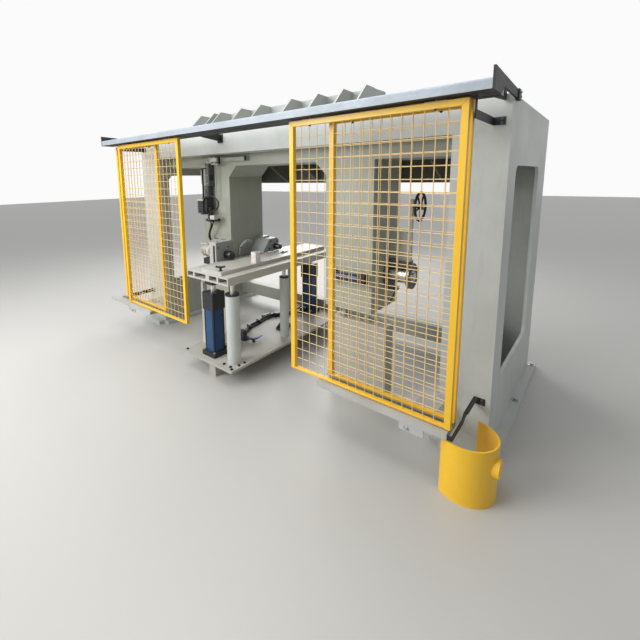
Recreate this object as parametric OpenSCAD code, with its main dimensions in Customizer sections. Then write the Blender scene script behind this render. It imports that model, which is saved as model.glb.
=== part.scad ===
// Rolling mill stand: a welded portal frame with a lift table in its middle bay, a head fixed to
// each side of the left column, a handwheel and drum beside the right column, and four sliding mesh
// guard doors that hang from one overhead track.
// X runs along the stand, Y from the front to the back, Z up from the floor.
// Depths below are measured from the front face of the portal. The whole stand is then
// moved so that the row's origin is the middle of the four outer anchor holes, on the floor.

/* [Portal] */
// half the length of the portal between the outer faces of its side plates
half_len = 1750; // [1600:10:1900]
// width of each front column face
col_w = 275; // [240:5:300]
// depth of the side plates
frame_d = 1360; // [1250:10:1500]
// height of the roof above the floor
frame_h = 1990; // [1900:5:2200]
// thickness of the side plates
plate_t = 20; // [12:1:30]
// height of the front beam
beam_h = 165; // [140:5:190]
// thickness of the base plates
base_t = 40; // [30:1:50]
// radius of the anchor holes in the base plates
anchor_r = 13; // [9:0.5:18]

/* [Inner frame] */
// front face of the inner frame
inner_y = 180; // [150:5:220]
// depth of the inner frame
inner_d = 440; // [400:5:480]
// half width of the middle bay
bay_half = 540; // [520:5:560]
// width of each inner column
inner_col_w = 390; // [360:5:410]
// from the roof down to the top of the middle bay
bay_drop = 268; // [250:1:300]
// from the roof down to the top of the side bays
side_drop = 345; // [330:1:380]
// size of the sloping corners of the middle bay
bay_chamfer = 100; // [60:5:120]
// underside of the inner columns above the floor
foot_z = 620; // [600:5:660]
// top of the pedestals below the inner columns
pedestal_h = 545; // [500:5:560]

/* [Roof] */
// front of the raised bridge on the roof
bridge_y = 363; // [340:1:380]
// height of the raised bridge above the roof
bridge_rise = 235; // [200:5:260]
// thickness of the ribs
rib_t = 12; // [8:1:16]

/* [Doors] */
// width of the two front doors
front_door_w = 1010; // [960:5:1040]
// width of the two rear doors
rear_door_w = 768; // [740:2:790]
// underside of the doors above the floor
door_z = 352; // [340:1:380]
// size of the square door tube
door_tube = 30; // [25:1:35]
// height of the flat bar at the foot of each mesh
foot_bar = 12; // [8:1:20]
// depth of the front doors' middle plane
front_plane = -362; // [-370:1:-355]
// depth of the rear doors' middle plane
rear_plane = -286; // [-295:1:-280]
// thickness of the mesh wires
wire = 4; // [3:0.5:5]

/* [Lift table] */
// underside of the table top above the floor
table_z = 790; // [780:1:800]
// height of the profiles of the table top
profile_h = 64; // [50:1:66]
// thickness of the raised plate on the table top
raised_t = 30; // [20:1:30]
// left edge of the table top
table_x = -500; // [-505:1:-495]
// width of the table top
table_w = 520; // [510:1:530]
// front end of the table top
table_y = -370; // [-375:1:-365]
// length of the table top
table_len = 1440; // [1400:10:1460]
// top of the table's base plate above the floor
pedestal_z = 150; // [140:1:160]
// top of the guide tubes above the floor
guide_z = 716; // [700:1:720]

/* [Right bay] */
// radius of the handwheel
wheel_r = 108; // [95:1:110]
// height of the handwheel's axis above the floor
wheel_z = 1390; // [1360:1:1420]
// radius of the drum
drum_r = 60; // [50:1:62]
// height of the drum's axis above the floor
drum_z = 876; // [870:1:880]

/* [Hidden] */
$fn = 48;
eps = 0.01;

// portal
col_in = half_len - col_w;
base_over = 50;
beam_z = frame_h - beam_h;
anchor_x = half_len + 28;
anchor_y = [60, frame_d / 2 + 35, frame_d + 10];
y_mid = anchor_y[1];
open_r = 60;
open_z = 425;
open_top = frame_h - 335;

// inner frame
inner_back = inner_y + inner_d;
col_out = bay_half + inner_col_w;
bay_z = frame_h - bay_drop;
side_bay_z = frame_h - side_drop;
gusset_x = -805;
gusset_pitch = 391;
rear_beam_y = inner_back + 280;
rear_beam_z = frame_h - 440;

// roof
roof_t = 10;
roof_top = frame_h + roof_t;
bridge_z = frame_h + bridge_rise;
rib_x = [-996, -793, -699, -417, -175, 162, 419, 641, 822];
rib_front = 4;

// doors and their track
track_z = frame_h - 37;
track_front = -435;
track_back = -223;
door_top = track_z - 12;
door_end = 98;
right_front_x = half_len - door_end - front_door_w;
right_rear_x = half_len - door_end - 2 - rear_door_w;
left_front_x = -half_len + 210;
left_rear_x = -half_len + 8;
rail_top = door_z - 6;
rail_h = 36;
rail_front = -403;
rail_back = -255;
right_rail = [right_rear_x - 18, half_len - 105];
left_rail = [-half_len - 140, -half_len + 655];
strap_t = 5;
upper_strap_z = frame_h - 137;
lower_strap_z = door_z - 22;
strap_in = 90;
strap_out = 26;

// lift table
table_top_z = table_z + profile_h;
lift_at = [[-240, -305], [-220, 1000]];
guide_at = [[0, -311, 56], [-20, 340, 42], [-470, 1000, 42]];
head_z = 690;
lift_travel = 60;
hose_z = pedestal_z + 11;
hose_a = [[-240, -225, 210], [-250, -180, 175], [-320, 60, hose_z], [-398, 300, hose_z],
          [-412, 460, hose_z], [-396, 600, hose_z], [-365, 760, hose_z], [-318, 930, 185], [-300, 990, 215]];
hose_b = [[-205, -225, 210], [-215, -180, 175], [-285, 60, hose_z], [-366, 300, hose_z],
          [-382, 460, hose_z], [-366, 600, hose_z], [-330, 760, hose_z], [-262, 880, 185], [-250, 920, 215]];

// vertical drive
drive_x = -840;
drive_top = beam_z - 75;
cable_a = [[-818, 70, 1345], [-798, 70, 1345], [-760, 68, 1380], [-690, 66, 1400], [-622, 66, 1368],
           [-612, 68, 1305], [-660, 70, 1255], [-722, 70, 1225], [-742, 72, 1170], [-722, 88, 1100],
           [-690, 106, 1058], [-690, 106, 1044], [-690, 106, 1030.3]];

// right bay
drum_y = 465;
seat_t = 20;
drum_gap = 5;
disc_x = col_out + 162;
arm_z = [945, 985];
post_x = col_out + 140;
wheel_x = 1145;

// Moves a piece from the depths measured at the portal's face to the row's frame.
module place() {
  translate([0, -y_mid, 0]) children();
}

// A box between two corners.
module block(a, b) {
  translate(a) cube([b[0] - a[0], b[1] - a[1], b[2] - a[2]]);
}

// A round bar along X, Y or Z from a start point.
module bar_x(p, r, len) {
  translate(p) rotate([0, 90, 0]) cylinder(r = r, h = len);
}
module bar_y(p, r, len) {
  translate(p) rotate([-90, 0, 0]) cylinder(r = r, h = len);
}
module bar_z(p, r, len) {
  translate(p) cylinder(r = r, h = len);
}

// A rectangle with sloping corners.
module cut_rect(a, b, c) {
  polygon([
    [a[0] + c, a[1]], [b[0] - c, a[1]], [b[0], a[1] + c], [b[0], b[1] - c],
    [b[0] - c, b[1]], [a[0] + c, b[1]], [a[0], b[1] - c], [a[0], a[1] + c]
  ]);
}

// Draws a plate that lies in the YZ plane: the outline's x is depth, its y is height.
module plate_yz(x, t) {
  translate([x, 0, 0]) rotate([90, 0, 90]) linear_extrude(t) children();
}

// Draws a plate that lies in the XZ plane, from depth y backwards.
module plate_xz(y, t) {
  translate([0, y + t, 0]) rotate([90, 0, 0]) linear_extrude(t) children();
}

// A smooth point between the points b and c of a route.
function smooth(a, b, c, d, t) =
  0.5 * (2 * b + (c - a) * t + (2 * a - 5 * b + 4 * c - d) * t * t + (3 * b - a - 3 * c + d) * t * t * t);

// A route's points with steps of them between each pair.
function route(p, steps) = let (n = len(p)) concat(
  [for (i = [0:n - 2], k = [0:steps - 1])
    smooth(p[max(i - 1, 0)], p[i], p[i + 1], p[min(i + 2, n - 1)], k / steps)],
  [p[n - 1]]);

function unit(v) = v / norm(v);

// A hose or cable of radius r along a route, with 8 sides; side is a direction it never runs in.
module hose(points, r, steps, side) {
  p = route(points, steps);
  n = len(p);
  rings = [for (i = [0:n - 1])
    let (along = unit(p[min(i + 1, n - 1)] - p[max(i - 1, 0)]),
         u = unit(cross(along, side)),
         v = cross(along, u))
    for (k = [0:7]) p[i] + r * (cos(45 * k) * u + sin(45 * k) * v)];
  polyhedron(
    points = rings,
    faces = concat(
      [[for (k = [0:7]) k]],
      [for (i = [0:n - 2], k = [0:7])
        [8 * i + k, 8 * i + 8 + k, 8 * i + 8 + (k + 1) % 8, 8 * i + (k + 1) % 8]],
      [[for (k = [7:-1:0]) 8 * (n - 1) + k]]));
}

// Base plates under both end frames, with a nose in front and the anchor holes.
module base_plates() {
  color([0.55, 0.57, 0.56]) place()
    for (s = [-1, 1]) mirror([s < 0 ? 1 : 0, 0, 0]) difference() {
      union() {
        block([col_in - 45, 0, 0], [half_len + base_over, frame_d + 90, base_t]);
        block([col_in + 35, -65, 0], [half_len + base_over, eps, base_t]);
      }
      for (y = anchor_y) bar_z([anchor_x, y, -1], anchor_r, base_t + 2);
    }
}

// Outer side plates, each with one large opening with rounded corners.
module outer_side_plates() {
  front = 204;
  back = frame_d - 320;
  color([0.62, 0.65, 0.64]) place()
    for (s = [-1, 1]) difference() {
      plate_yz(s > 0 ? half_len - plate_t : -half_len, plate_t)
        translate([0, base_t]) square([frame_d, frame_h - base_t]);
      translate([s * half_len, 0, 0]) {
        block([-2 * plate_t, front, open_z + open_r], [2 * plate_t, back, open_top - open_r]);
        block([-2 * plate_t, front + open_r, open_z], [2 * plate_t, back - open_r, open_top]);
        for (y = [front + open_r, back - open_r], z = [open_z + open_r, open_top - open_r])
          bar_x([-2 * plate_t, y, z], open_r, 4 * plate_t);
      }
    }
}

// Inner side plates of the end frames.
module inner_side_plates() {
  color([0.58, 0.61, 0.6]) place()
    for (s = [-1, 1])
      plate_yz(s > 0 ? col_in : -col_in - 15, 15)
        difference() {
          translate([70, base_t]) square([frame_d - 140, frame_h - base_t]);
          cut_rect([140, 460], [frame_d - 140, side_bay_z], 40);
        }
}

// Front columns, closed boxes of sheet.
module front_columns() {
  color([0.66, 0.69, 0.68]) place()
    for (s = [-1, 1])
      block([s > 0 ? col_in : -half_len + plate_t, 0, base_t],
            [s > 0 ? half_len - plate_t : -col_in, 70, frame_h]);
}

// Rear columns, closed boxes of sheet.
module rear_columns() {
  color([0.6, 0.63, 0.62]) place()
    for (s = [-1, 1])
      block([s > 0 ? col_in : -half_len + plate_t, frame_d - 70, base_t],
            [s > 0 ? half_len - plate_t : -col_in, frame_d, frame_h]);
}

// Front beam between the two front columns.
module front_beam() {
  color([0.64, 0.67, 0.66]) place()
    block([-col_in, 0, beam_z], [col_in, inner_y, frame_h]);
}

// The two inner columns on both sides of the middle bay, which hang from the inner beam.
module inner_columns() {
  color([0.6, 0.62, 0.6]) place()
    for (s = [-1, 1])
      block([s > 0 ? bay_half : -col_out, inner_y, foot_z],
            [s > 0 ? col_out : -bay_half, inner_back, bay_z - bay_chamfer]);
}

// Beam across the inner columns, with the sloping corners of the middle bay.
module inner_beam() {
  color([0.62, 0.64, 0.62]) place()
    plate_xz(inner_y, inner_d)
      polygon([
        [-col_in, side_bay_z], [-col_out, side_bay_z], [-col_out, bay_z - bay_chamfer],
        [-bay_half, bay_z - bay_chamfer], [-bay_half + bay_chamfer, bay_z],
        [bay_half - bay_chamfer, bay_z], [bay_half, bay_z - bay_chamfer],
        [col_out, bay_z - bay_chamfer], [col_out, side_bay_z], [col_in, side_bay_z],
        [col_in, frame_h], [-col_in, frame_h]
      ]);
}

// Rear beam below the roof, with triangular gussets to the inner beam.
module rear_beam() {
  color([0.42, 0.44, 0.43]) place() {
    block([-col_in, rear_beam_y, rear_beam_z], [col_in, rear_beam_y + 100, frame_h]);
    for (i = [0:5])
      plate_yz(gusset_x + i * gusset_pitch - 6, 12)
        polygon([[inner_back, frame_h - 280], [rear_beam_y + eps, rear_beam_z + 2],
                 [rear_beam_y + eps, frame_h], [inner_back, frame_h]]);
  }
}

// Lower longitudinal beam behind the bays, between the inner side plates.
module lower_rear_beam() {
  color([0.52, 0.54, 0.52]) place()
    block([-col_in, frame_d - 180, 105], [col_in, frame_d - 70, 247]);
}

// Roof plate over the whole portal.
module roof_plate() {
  color([0.62, 0.65, 0.64]) place()
    block([-half_len, 0, frame_h], [half_len, frame_d, roof_top]);
}

// Raised bridge on the roof.
module roof_bridge() {
  color([0.55, 0.57, 0.55]) place()
    block([rib_x[0], bridge_y, roof_top], [rib_x[8], bridge_y + 180, bridge_z]);
}

// Upright ribs that brace the bridge from the front.
module roof_ribs() {
  color([0.5, 0.52, 0.5]) place()
    for (x = rib_x)
      plate_yz(x - rib_t / 2, rib_t)
        polygon([[rib_front, roof_top], [bridge_y, roof_top], [bridge_y, bridge_z],
                 [rib_front + bridge_rise, bridge_z + 4]]);
}

// Overhead track with two slots that the doors hang in.
module door_track() {
  color([0.72, 0.75, 0.8]) place()
    plate_yz(-half_len, 2 * half_len)
      difference() {
        union() {
          translate([track_front, track_z]) square([track_back - track_front, 34]);
          translate([track_front + 12, track_z]) square([track_back - track_front - 12, 46]);
          translate([track_front + 12, track_z + 34]) circle(r = 12);
        }
        for (y = [front_plane, rear_plane]) {
          translate([y - 8, track_z - 1]) square([16, 12]);
          translate([y - 22, track_z + 8]) square([44, 28]);
        }
      }
}

// Plates that close the track and carry it from the end frames, and one hanger in the middle.
module track_ends() {
  color([0.2, 0.21, 0.22]) place() {
    for (s = [-1, 1]) {
      plate_yz(s > 0 ? half_len : -half_len - 10, 10)
        polygon([[track_front, track_z - 38], [track_back, track_z - 38], [100, track_z + 32],
                 [100, track_z + 90], [track_front, track_z + 90]]);
      plate_yz(s > 0 ? half_len - 40 : -half_len + 30, 10)
        polygon([[track_back, track_z], [0, track_z + 17], [0, track_z + 46], [track_back, track_z + 46]]);
    }
    plate_yz(-435, 8)
      polygon([[track_back, track_z], [0, track_z - 30], [0, track_z + 30], [track_back, track_z + 46]]);
    block([-470, -6, track_z - 40], [-400, 0, track_z + 34]);
  }
}

// Bent flat bars from the columns to the track and to the guide rails.
module strap_brackets() {
  right_x = half_len - strap_in;
  left_x = -half_len + 23;
  color([0.1, 0.11, 0.12]) place() {
    for (z = [upper_strap_z, lower_strap_z]) {
      block([right_x, -strap_t, z], [half_len - strap_out, 0, z + 39]);
      block([left_x, -strap_t, z], [left_x + 56, 0, z + 39]);
    }
    block([right_x, -340, upper_strap_z], [right_x + strap_t, -strap_t, upper_strap_z + 39]);
    block([right_x, -340, upper_strap_z + 39], [right_x + strap_t, track_back - 2, track_z]);
    block([left_x, track_back - 32, upper_strap_z], [left_x + strap_t, -strap_t, upper_strap_z + 39]);
    block([left_x, track_back - 32, upper_strap_z + 39], [left_x + strap_t, track_back - 2, track_z]);
    block([right_x, -230, lower_strap_z], [right_x + strap_t, -strap_t, lower_strap_z + 39]);
    block([right_x, -400, rail_top - 32], [right_x + strap_t, -200, rail_top - 1]);
    block([right_rail[1], -400, rail_top - 32], [right_x, -395, rail_top - 6]);
    block([left_x, rail_back, lower_strap_z], [left_x + strap_t, -strap_t, lower_strap_z + 39]);
    block([left_x, rail_back, rail_top - 32], [left_x + strap_t, -200, lower_strap_z]);
  }
}

// Channels at the foot of the doors, with the angles that carry them.
module guide_rails() {
  bottom = rail_top - rail_h;
  color([0.68, 0.7, 0.72]) place() {
    for (x = [right_rail, left_rail]) difference() {
      block([x[0], rail_front, bottom], [x[1], rail_back, rail_top]);
      block([x[0] - 1, rail_front + 4, bottom + 4], [x[1] + 1, rail_back - 4, rail_top - 4]);
      block([x[0] - 1, rail_front + 50, rail_top - 6], [x[1] + 1, rail_back - 40, rail_top + 4]);
    }
    for (s = [-1, 1]) mirror([s < 0 ? 1 : 0, 0, 0]) {
      block([col_in - 75, rail_front + 6, bottom - 6], [col_in + 55, 0, bottom]);
      difference() {
        block([col_in - 75, rail_front + 6, bottom - 46], [col_in + 55, rail_front + 12, bottom - 6]);
        block([col_in - 48, rail_front, bottom - 34], [col_in - 18, rail_front + 20, bottom - 22]);
      }
    }
  }
}

// Half pipe that guards the front corner on the right, with a round boss on its side.
module corner_guard() {
  color([0.95, 0.72, 0.05]) place()
    translate([half_len - 42, -262, 0]) difference() {
      union() {
        cylinder(r = 143, h = 303);
        bar_x([100, -22, 196], 48, 58);
      }
      translate([0, 0, -1]) cylinder(r = 134, h = 305);
      rotate([0, 0, 64.4]) translate([-300, 45, -1]) cube([600, 300, 305]);
    }
}

// Pedestals in front of and below the inner columns, with the jack screws that take their weight.
module column_pedestals() {
  color([0.62, 0.62, 0.6]) place()
    for (s = [-1, 1]) mirror([s < 0 ? 1 : 0, 0, 0]) {
      block([600, inner_y, 0], [1040, inner_y + 130, pedestal_h]);
      for (x = [680, 860]) {
        bar_z([x, inner_y + 65, pedestal_h - eps], 30, 22);
        bar_z([x, inner_y + 65, pedestal_h], 16, foot_z - pedestal_h);
        bar_z([x, inner_y + 65, foot_z - 14], 34, 14);
      }
    }
}

// Base plate of the lift table on its feet.
module table_base() {
  color([0.6, 0.62, 0.6]) place() {
    difference() {
      block([-515, -437, pedestal_z - 20], [100, frame_d - 210, pedestal_z]);
      for (x = [-490, 75], y = [-410, 1125]) bar_z([x, y, 120], 9, 40);
    }
    for (p = [[-195, -345], [-400, 250], [-160, 250], [-400, 1000], [-160, 1000]])
      block([p[0] - 40, p[1] - 40, 0], [p[0] + 40, p[1] + 40, pedestal_z - 20 + eps]);
  }
}

// Guide tubes and the left guide strip of the lift table.
module table_guides() {
  color([0.64, 0.67, 0.66]) place() {
    for (p = guide_at)
      difference() {
        bar_z([p[0], p[1], pedestal_z], p[2], guide_z - pedestal_z);
        bar_z([p[0], p[1], pedestal_z + 70], 17.5, 600);
        bar_z([p[0], p[1], guide_z - 30], p[2] - 9, 60);
      }
    block([-490, -240, pedestal_z], [-460, -200, guide_z]);
    block([-460, -236, pedestal_z], [-452, -204, guide_z - 60]);
  }
}

// Barrels of the two lift cylinders: square tube with grooves for the tie rods.
module lift_barrels() {
  color([0.1, 0.3, 0.55]) place()
    for (p = lift_at)
      translate([p[0], p[1], pedestal_z + 40])
        linear_extrude(356) difference() {
          translate([-57, -57]) square([114, 114]);
          for (x = [-57, 57], y = [-57, 57]) translate([x, y]) circle(r = 15);
        }
}

// Flanges, heads and tie rods of the two lift cylinders.
module lift_end_blocks() {
  color([0.1, 0.11, 0.12]) place()
    for (p = lift_at) translate([p[0], p[1], 0]) {
      block([-78, -78, pedestal_z], [78, 78, pedestal_z + 40]);
      for (x = [-52, 52], y = [-52, 52]) bar_z([x, y, pedestal_z + 40 - eps], 7, 357);
      difference() {
        block([-65, -65, pedestal_z + 396], [65, 65, head_z]);
        bar_z([0, 0, pedestal_z + 400], 25.5, 300);
      }
    }
}

// Table top of hollow profiles with a raised plate.
module table_top() {
  bottom = table_z + 14;
  top = table_top_z - 12;
  color([0.7, 0.71, 0.7]) place() {
    difference() {
      block([table_x, table_y, table_z], [table_x + table_w, table_y + table_len, table_top_z]);
      for (x = [[10, 85], [105, 250], [292, 385], [405, 508]])
        block([table_x + x[0], table_y - 1, bottom], [table_x + x[1], table_y + table_len + 1, top]);
    }
    difference() {
      block([table_x + 170, table_y + 20, table_top_z - eps],
            [table_x + 423, table_y + table_len, table_top_z + raised_t]);
      for (y = [120, 380, 640, 900, 1160], x = [210, 380])
        bar_z([table_x + x, table_y + y, table_top_z + 5], 7, 60);
    }
  }
}

// Rods that carry the table top, with their clevis blocks.
module table_rods() {
  rod_z = pedestal_z + 76 + lift_travel;
  color([0.85, 0.85, 0.86]) place() {
    for (p = guide_at) bar_z([p[0], p[1], rod_z], 17.4, table_z - rod_z);
    for (p = lift_at) {
      bar_z([p[0], p[1], 552 + lift_travel], 25, 150);
      translate([p[0], p[1], 0]) block([-45, -45, head_z + lift_travel + 6], [45, 45, table_z]);
    }
  }
}

// Hoses between the two lift cylinders, clipped to the base plate.
module table_hoses() {
  color([0.08, 0.08, 0.09]) place() {
    hose(hose_a, 9, 5, [0, 0, 1]);
    hose(hose_b, 9, 5, [0, 0, 1]);
  }
}

// Slotted head on the front of the left column, with its chuck and knob.
module head_block() {
  face = -507;
  color([0.66, 0.68, 0.66]) place() {
    difference() {
      translate([0, 0, 800]) linear_extrude(230)
        polygon([[-600, -40], [face, -40], [face, inner_y], [-780, inner_y]]);
      for (x = [-725, -630]) block([x, 118, 1012], [x + 60, 140, 1031]);
      for (p = [[-17, 980], [106, 974]]) bar_x([face - 12, p[0], p[1]], 8, 20);
    }
    bar_x([-725, 20, 938], 62, 110);
    bar_x([-745, 20, 938], 34, 30);
    block([-755, -22, 994], [-650, -4, 1004]);
    bar_x([face - eps, 82, 905], 34, 58);
    bar_x([face + 50, 82, 905], 24, 17);
  }
}

// Second head on the side of the left column: a stepped disc, a sloping block and a knob.
module side_head() {
  color([0.5, 0.52, 0.52]) place() {
    bar_x([-bay_half, 375, 885], 118, 18);
    bar_x([-bay_half, 375, 885], 92, 25);
    bar_x([-bay_half, 375, 885], 44, 32);
    translate([-bay_half, 0, 0]) rotate([90, 0, 90]) linear_extrude(200)
      polygon([[405, 885], [640, 885], [640, 990], [610, 1012], [500, 1012]]);
    bar_x([-bay_half + 200 - eps, 580, 930], 26, 60);
    block([-bay_half + 40, 520, 1012 - eps], [-bay_half + 110, 600, 1024]);
  }
}

// Horizontal bar on the inner beam, with the fittings and the rod of the vertical drive.
module cross_bar() {
  color([0.55, 0.57, 0.55]) place() {
    block([-col_out, inner_y - 30, beam_z - 65], [-480, inner_y, beam_z - 25]);
    for (x = [-760, -700]) block([x, inner_y - 60, drive_top], [x + 40, inner_y - 30 + eps, beam_z - 15]);
    bar_z([-680, inner_y - 45, drive_top - 310], 5, 310 + eps);
  }
}

// Vertical drive: its slide, motor and lower bracket.
module vertical_drive() {
  color([0.25, 0.26, 0.28]) place() {
    block([drive_x, 60, drive_top - 330], [drive_x + 95, inner_y, drive_top]);
    block([drive_x - 85, 60, drive_top - 475], [drive_x + 20, 150, drive_top - 338]);
    block([drive_x, 80, drive_top - 510], [drive_x + 80, inner_y, drive_top - 330 + eps]);
    block([drive_x - 5, 85, drive_top - 555], [drive_x + 190, inner_y, drive_top - 530]);
    block([drive_x + 20, 100, drive_top - 531], [drive_x + 60, inner_y, drive_top - 509]);
  }
}

// Cable from the motor down to the slotted head.
module drive_cable() {
  color([0.08, 0.08, 0.09]) place() hose(cable_a, 7, 4, [0, 1, 0]);
}

// Arm and post that carry the handwheel above the drum.
module wheel_post() {
  color([0.3, 0.31, 0.32]) place()
    difference() {
      block([post_x, drum_y - 13, arm_z[1]], [post_x + 26, drum_y + 13, wheel_z + 50]);
      bar_x([post_x - 10, drum_y, wheel_z], 10.05, 60);
    }
}

// Five spoke handwheel on its shaft.
module handwheel() {
  color([0.15, 0.16, 0.17]) place()
    translate([wheel_x, drum_y, wheel_z]) rotate([0, 90, 0]) {
      rotate_extrude() translate([wheel_r - 9, 0]) circle(r = 9);
      translate([0, 0, -16]) cylinder(r = 22, h = 32);
      translate([0, 0, -73]) cylinder(r = 10, h = 74);
      for (a = [0:72:288]) rotate([0, 0, a]) rotate([0, 90, 0]) cylinder(r = 6, h = wheel_r - 9);
    }
}

// Seat of the drum on the side of the right column, with the arm above it and a slanting rod.
module drum_seat() {
  color([0.25, 0.26, 0.27]) place() {
    difference() {
      union() {
        bar_x([col_out, drum_y, drum_z], 115, seat_t);
        block([col_out, drum_y - 60, arm_z[0]], [disc_x - 5, drum_y + 60, arm_z[1]]);
      }
      bar_x([col_out + 5, drum_y, drum_z], 20.05, 40);
    }
    block([col_out, drum_y - 20, drum_z - 120], [col_out + 75, drum_y + 20, drum_z - 95]);
    translate([col_out + 62, drum_y, drum_z - 112]) rotate([0, 202, 0]) cylinder(r = 7, h = 132);
  }
}

// Pale cover with a round top that stands on the arm beside the post.
module drum_cover() {
  color([0.68, 0.7, 0.68]) place()
    plate_xz(drum_y - 20, 40) {
      translate([col_out + 60, arm_z[1]]) square([80, 190]);
      translate([col_out + 100, arm_z[1] + 190]) circle(r = 40);
    }
}

// Horizontal cylinder on the front of the right column.
module side_cylinder() {
  color([0.1, 0.3, 0.55]) place() {
    block([615, 112, 848], [650, inner_y, 922]);
    bar_x([650 - eps, 145, 885], 28, 200 + 2 * eps);
    block([850, 112, 850], [905, inner_y, 920]);
  }
}

// Drum with its disc, which turns in the seat's bore.
module drum() {
  start = col_out + seat_t + drum_gap;
  color([0.75, 0.76, 0.78]) place() {
    bar_x([start, drum_y, drum_z], drum_r, disc_x - start + eps);
    bar_x([disc_x, drum_y, drum_z], 98, 20);
    bar_x([disc_x, drum_y, drum_z], 30, 32);
    bar_x([col_out + 6, drum_y, drum_z], 20, start - col_out - 6 + eps);
  }
}

// Stiles and top of a door in square tube, with its hanger plates, studs and rollers.
module door_frame(x, y, w) {
  half = door_tube / 2;
  color([0.95, 0.74, 0.1]) place() {
    difference() {
      block([x, y - half, door_z], [x + w, y + half, door_top]);
      block([x + door_tube, y - door_tube, door_z - 1],
            [x + w - door_tube, y + door_tube, door_top - door_tube]);
    }
    for (hx = [x + 120, x + w - 170]) {
      block([hx, y - 12, door_top - eps], [hx + 50, y + 12, door_top + 4]);
      bar_z([hx + 25, y, door_top], 5, track_z + 22 - door_top);
      bar_z([hx + 25, y, track_z + 8.3], 14, 14);
    }
  }
}

// Square wire mesh of a door, with the flat bar at its foot.
module door_mesh(x, y, w, cols, rows) {
  in_w = w - 2 * door_tube;
  in_h = door_top - door_z - door_tube - foot_bar;
  color([0.95, 0.85, 0.6]) place() {
    block([x + door_tube, y - door_tube / 2, door_z], [x + w - door_tube, y + door_tube / 2, door_z + foot_bar]);
    translate([x + door_tube, y + wire / 2, door_z + foot_bar - eps]) rotate([90, 0, 0])
      linear_extrude(wire) union() {
        for (i = [1:cols]) translate([i * in_w / (cols + 1) - wire / 2, 0]) square([wire, in_h + eps]);
        for (j = [1:rows]) translate([0, j * in_h / (rows + 1) - wire / 2]) square([in_w, wire]);
      }
  }
}

module right_front_door() { door_frame(right_front_x, front_plane, front_door_w); }
module right_front_mesh() { door_mesh(right_front_x, front_plane, front_door_w, 14, 26); }
module right_rear_door() { door_frame(right_rear_x, rear_plane, rear_door_w); }
module right_rear_mesh() { door_mesh(right_rear_x, rear_plane, rear_door_w, 10, 26); }
module left_front_door() { door_frame(left_front_x, front_plane, front_door_w); }
module left_front_mesh() { door_mesh(left_front_x, front_plane, front_door_w, 14, 26); }
module left_rear_door() { door_frame(left_rear_x, rear_plane, rear_door_w); }
module left_rear_mesh() { door_mesh(left_rear_x, rear_plane, rear_door_w, 10, 26); }

base_plates();
outer_side_plates();
inner_side_plates();
front_columns();
rear_columns();
front_beam();
inner_columns();
inner_beam();
rear_beam();
lower_rear_beam();
roof_plate();
roof_bridge();
roof_ribs();
door_track();
track_ends();
strap_brackets();
guide_rails();
corner_guard();
column_pedestals();
table_base();
table_guides();
lift_barrels();
lift_end_blocks();
table_top();
table_rods();
table_hoses();
head_block();
side_head();
cross_bar();
vertical_drive();
drive_cable();
wheel_post();
handwheel();
drum_seat();
drum_cover();
side_cylinder();
drum();
right_front_door();
right_front_mesh();
right_rear_door();
right_rear_mesh();
left_front_door();
left_front_mesh();
left_rear_door();
left_rear_mesh();
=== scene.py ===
"""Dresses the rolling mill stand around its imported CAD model.

The stand is a welded portal of painted plate. Sliding guard doors of square tube hang from one overhead
track, a lift table stands in the middle bay, work heads sit on the inner columns, and the right bay holds
a drum and a handwheel. Positions follow the CAD source: millimetres, depth measured from the portal's
front face, which lies 715 mm in front of the row's origin.
"""

from __future__ import annotations

import logging
import math
from dataclasses import dataclass, field
from enum import Enum
from typing import Any, Sequence

import bmesh
import bpy
from mathutils import Matrix, Vector

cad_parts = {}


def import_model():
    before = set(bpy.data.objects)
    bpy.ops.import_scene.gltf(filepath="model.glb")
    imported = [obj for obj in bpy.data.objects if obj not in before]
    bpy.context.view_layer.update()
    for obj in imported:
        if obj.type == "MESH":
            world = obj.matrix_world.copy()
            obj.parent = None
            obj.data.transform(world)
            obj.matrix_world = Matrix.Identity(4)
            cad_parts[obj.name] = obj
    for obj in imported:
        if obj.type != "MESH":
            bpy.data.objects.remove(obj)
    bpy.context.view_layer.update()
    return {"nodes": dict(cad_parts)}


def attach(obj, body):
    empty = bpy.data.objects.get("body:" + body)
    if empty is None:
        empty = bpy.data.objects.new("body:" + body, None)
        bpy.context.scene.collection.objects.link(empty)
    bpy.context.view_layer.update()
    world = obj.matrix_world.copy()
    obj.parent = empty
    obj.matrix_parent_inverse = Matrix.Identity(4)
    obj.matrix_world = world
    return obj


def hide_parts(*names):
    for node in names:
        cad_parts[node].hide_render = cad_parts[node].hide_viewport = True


LOG = logging.getLogger("mill_stand")
MM = 0.001
DEPTH_SHIFT = -715.0
SMOOTH_LIMIT = math.radians(35.0)
SIDES = (-1, 1)

# Node types that several trees use.
NOISE = "ShaderNodeTexNoise"
RAMP = "ShaderNodeValToRGB"
PLACE = "ShaderNodeTexCoord"
MAPPING = "ShaderNodeMapping"
SHADER = "ShaderNodeBsdfPrincipled"
MATH = "ShaderNodeMath"
XYZ = "ShaderNodeCombineXYZ"
CYLINDER = "GeometryNodeMeshCylinder"
LINE = "GeometryNodeMeshLine"
MOVE = "GeometryNodeTransform"
COPIES = "GeometryNodeInstanceOnPoints"
JOIN = "GeometryNodeJoinGeometry"
SOCKETS = {
    float: "NodeSocketFloat",
    int: "NodeSocketInt",
    tuple: "NodeSocketVector",
    type(None): "NodeSocketMaterial",
}

Point = Sequence[float]
Pair = tuple[float, float]
Colour = tuple[float, float, float, float]


class Body(Enum):
    """The rigid bodies of the stand that pieces ride on."""

    FRAME = "frame"
    RIGHT_FRONT = "right_front_door_body"
    RIGHT_REAR = "right_rear_door_body"
    LEFT_FRONT = "left_front_door_body"
    LEFT_REAR = "left_rear_door_body"
    TABLE = "table_body"
    WHEEL = "handwheel_body"
    DRUM = "drum_body"


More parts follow.
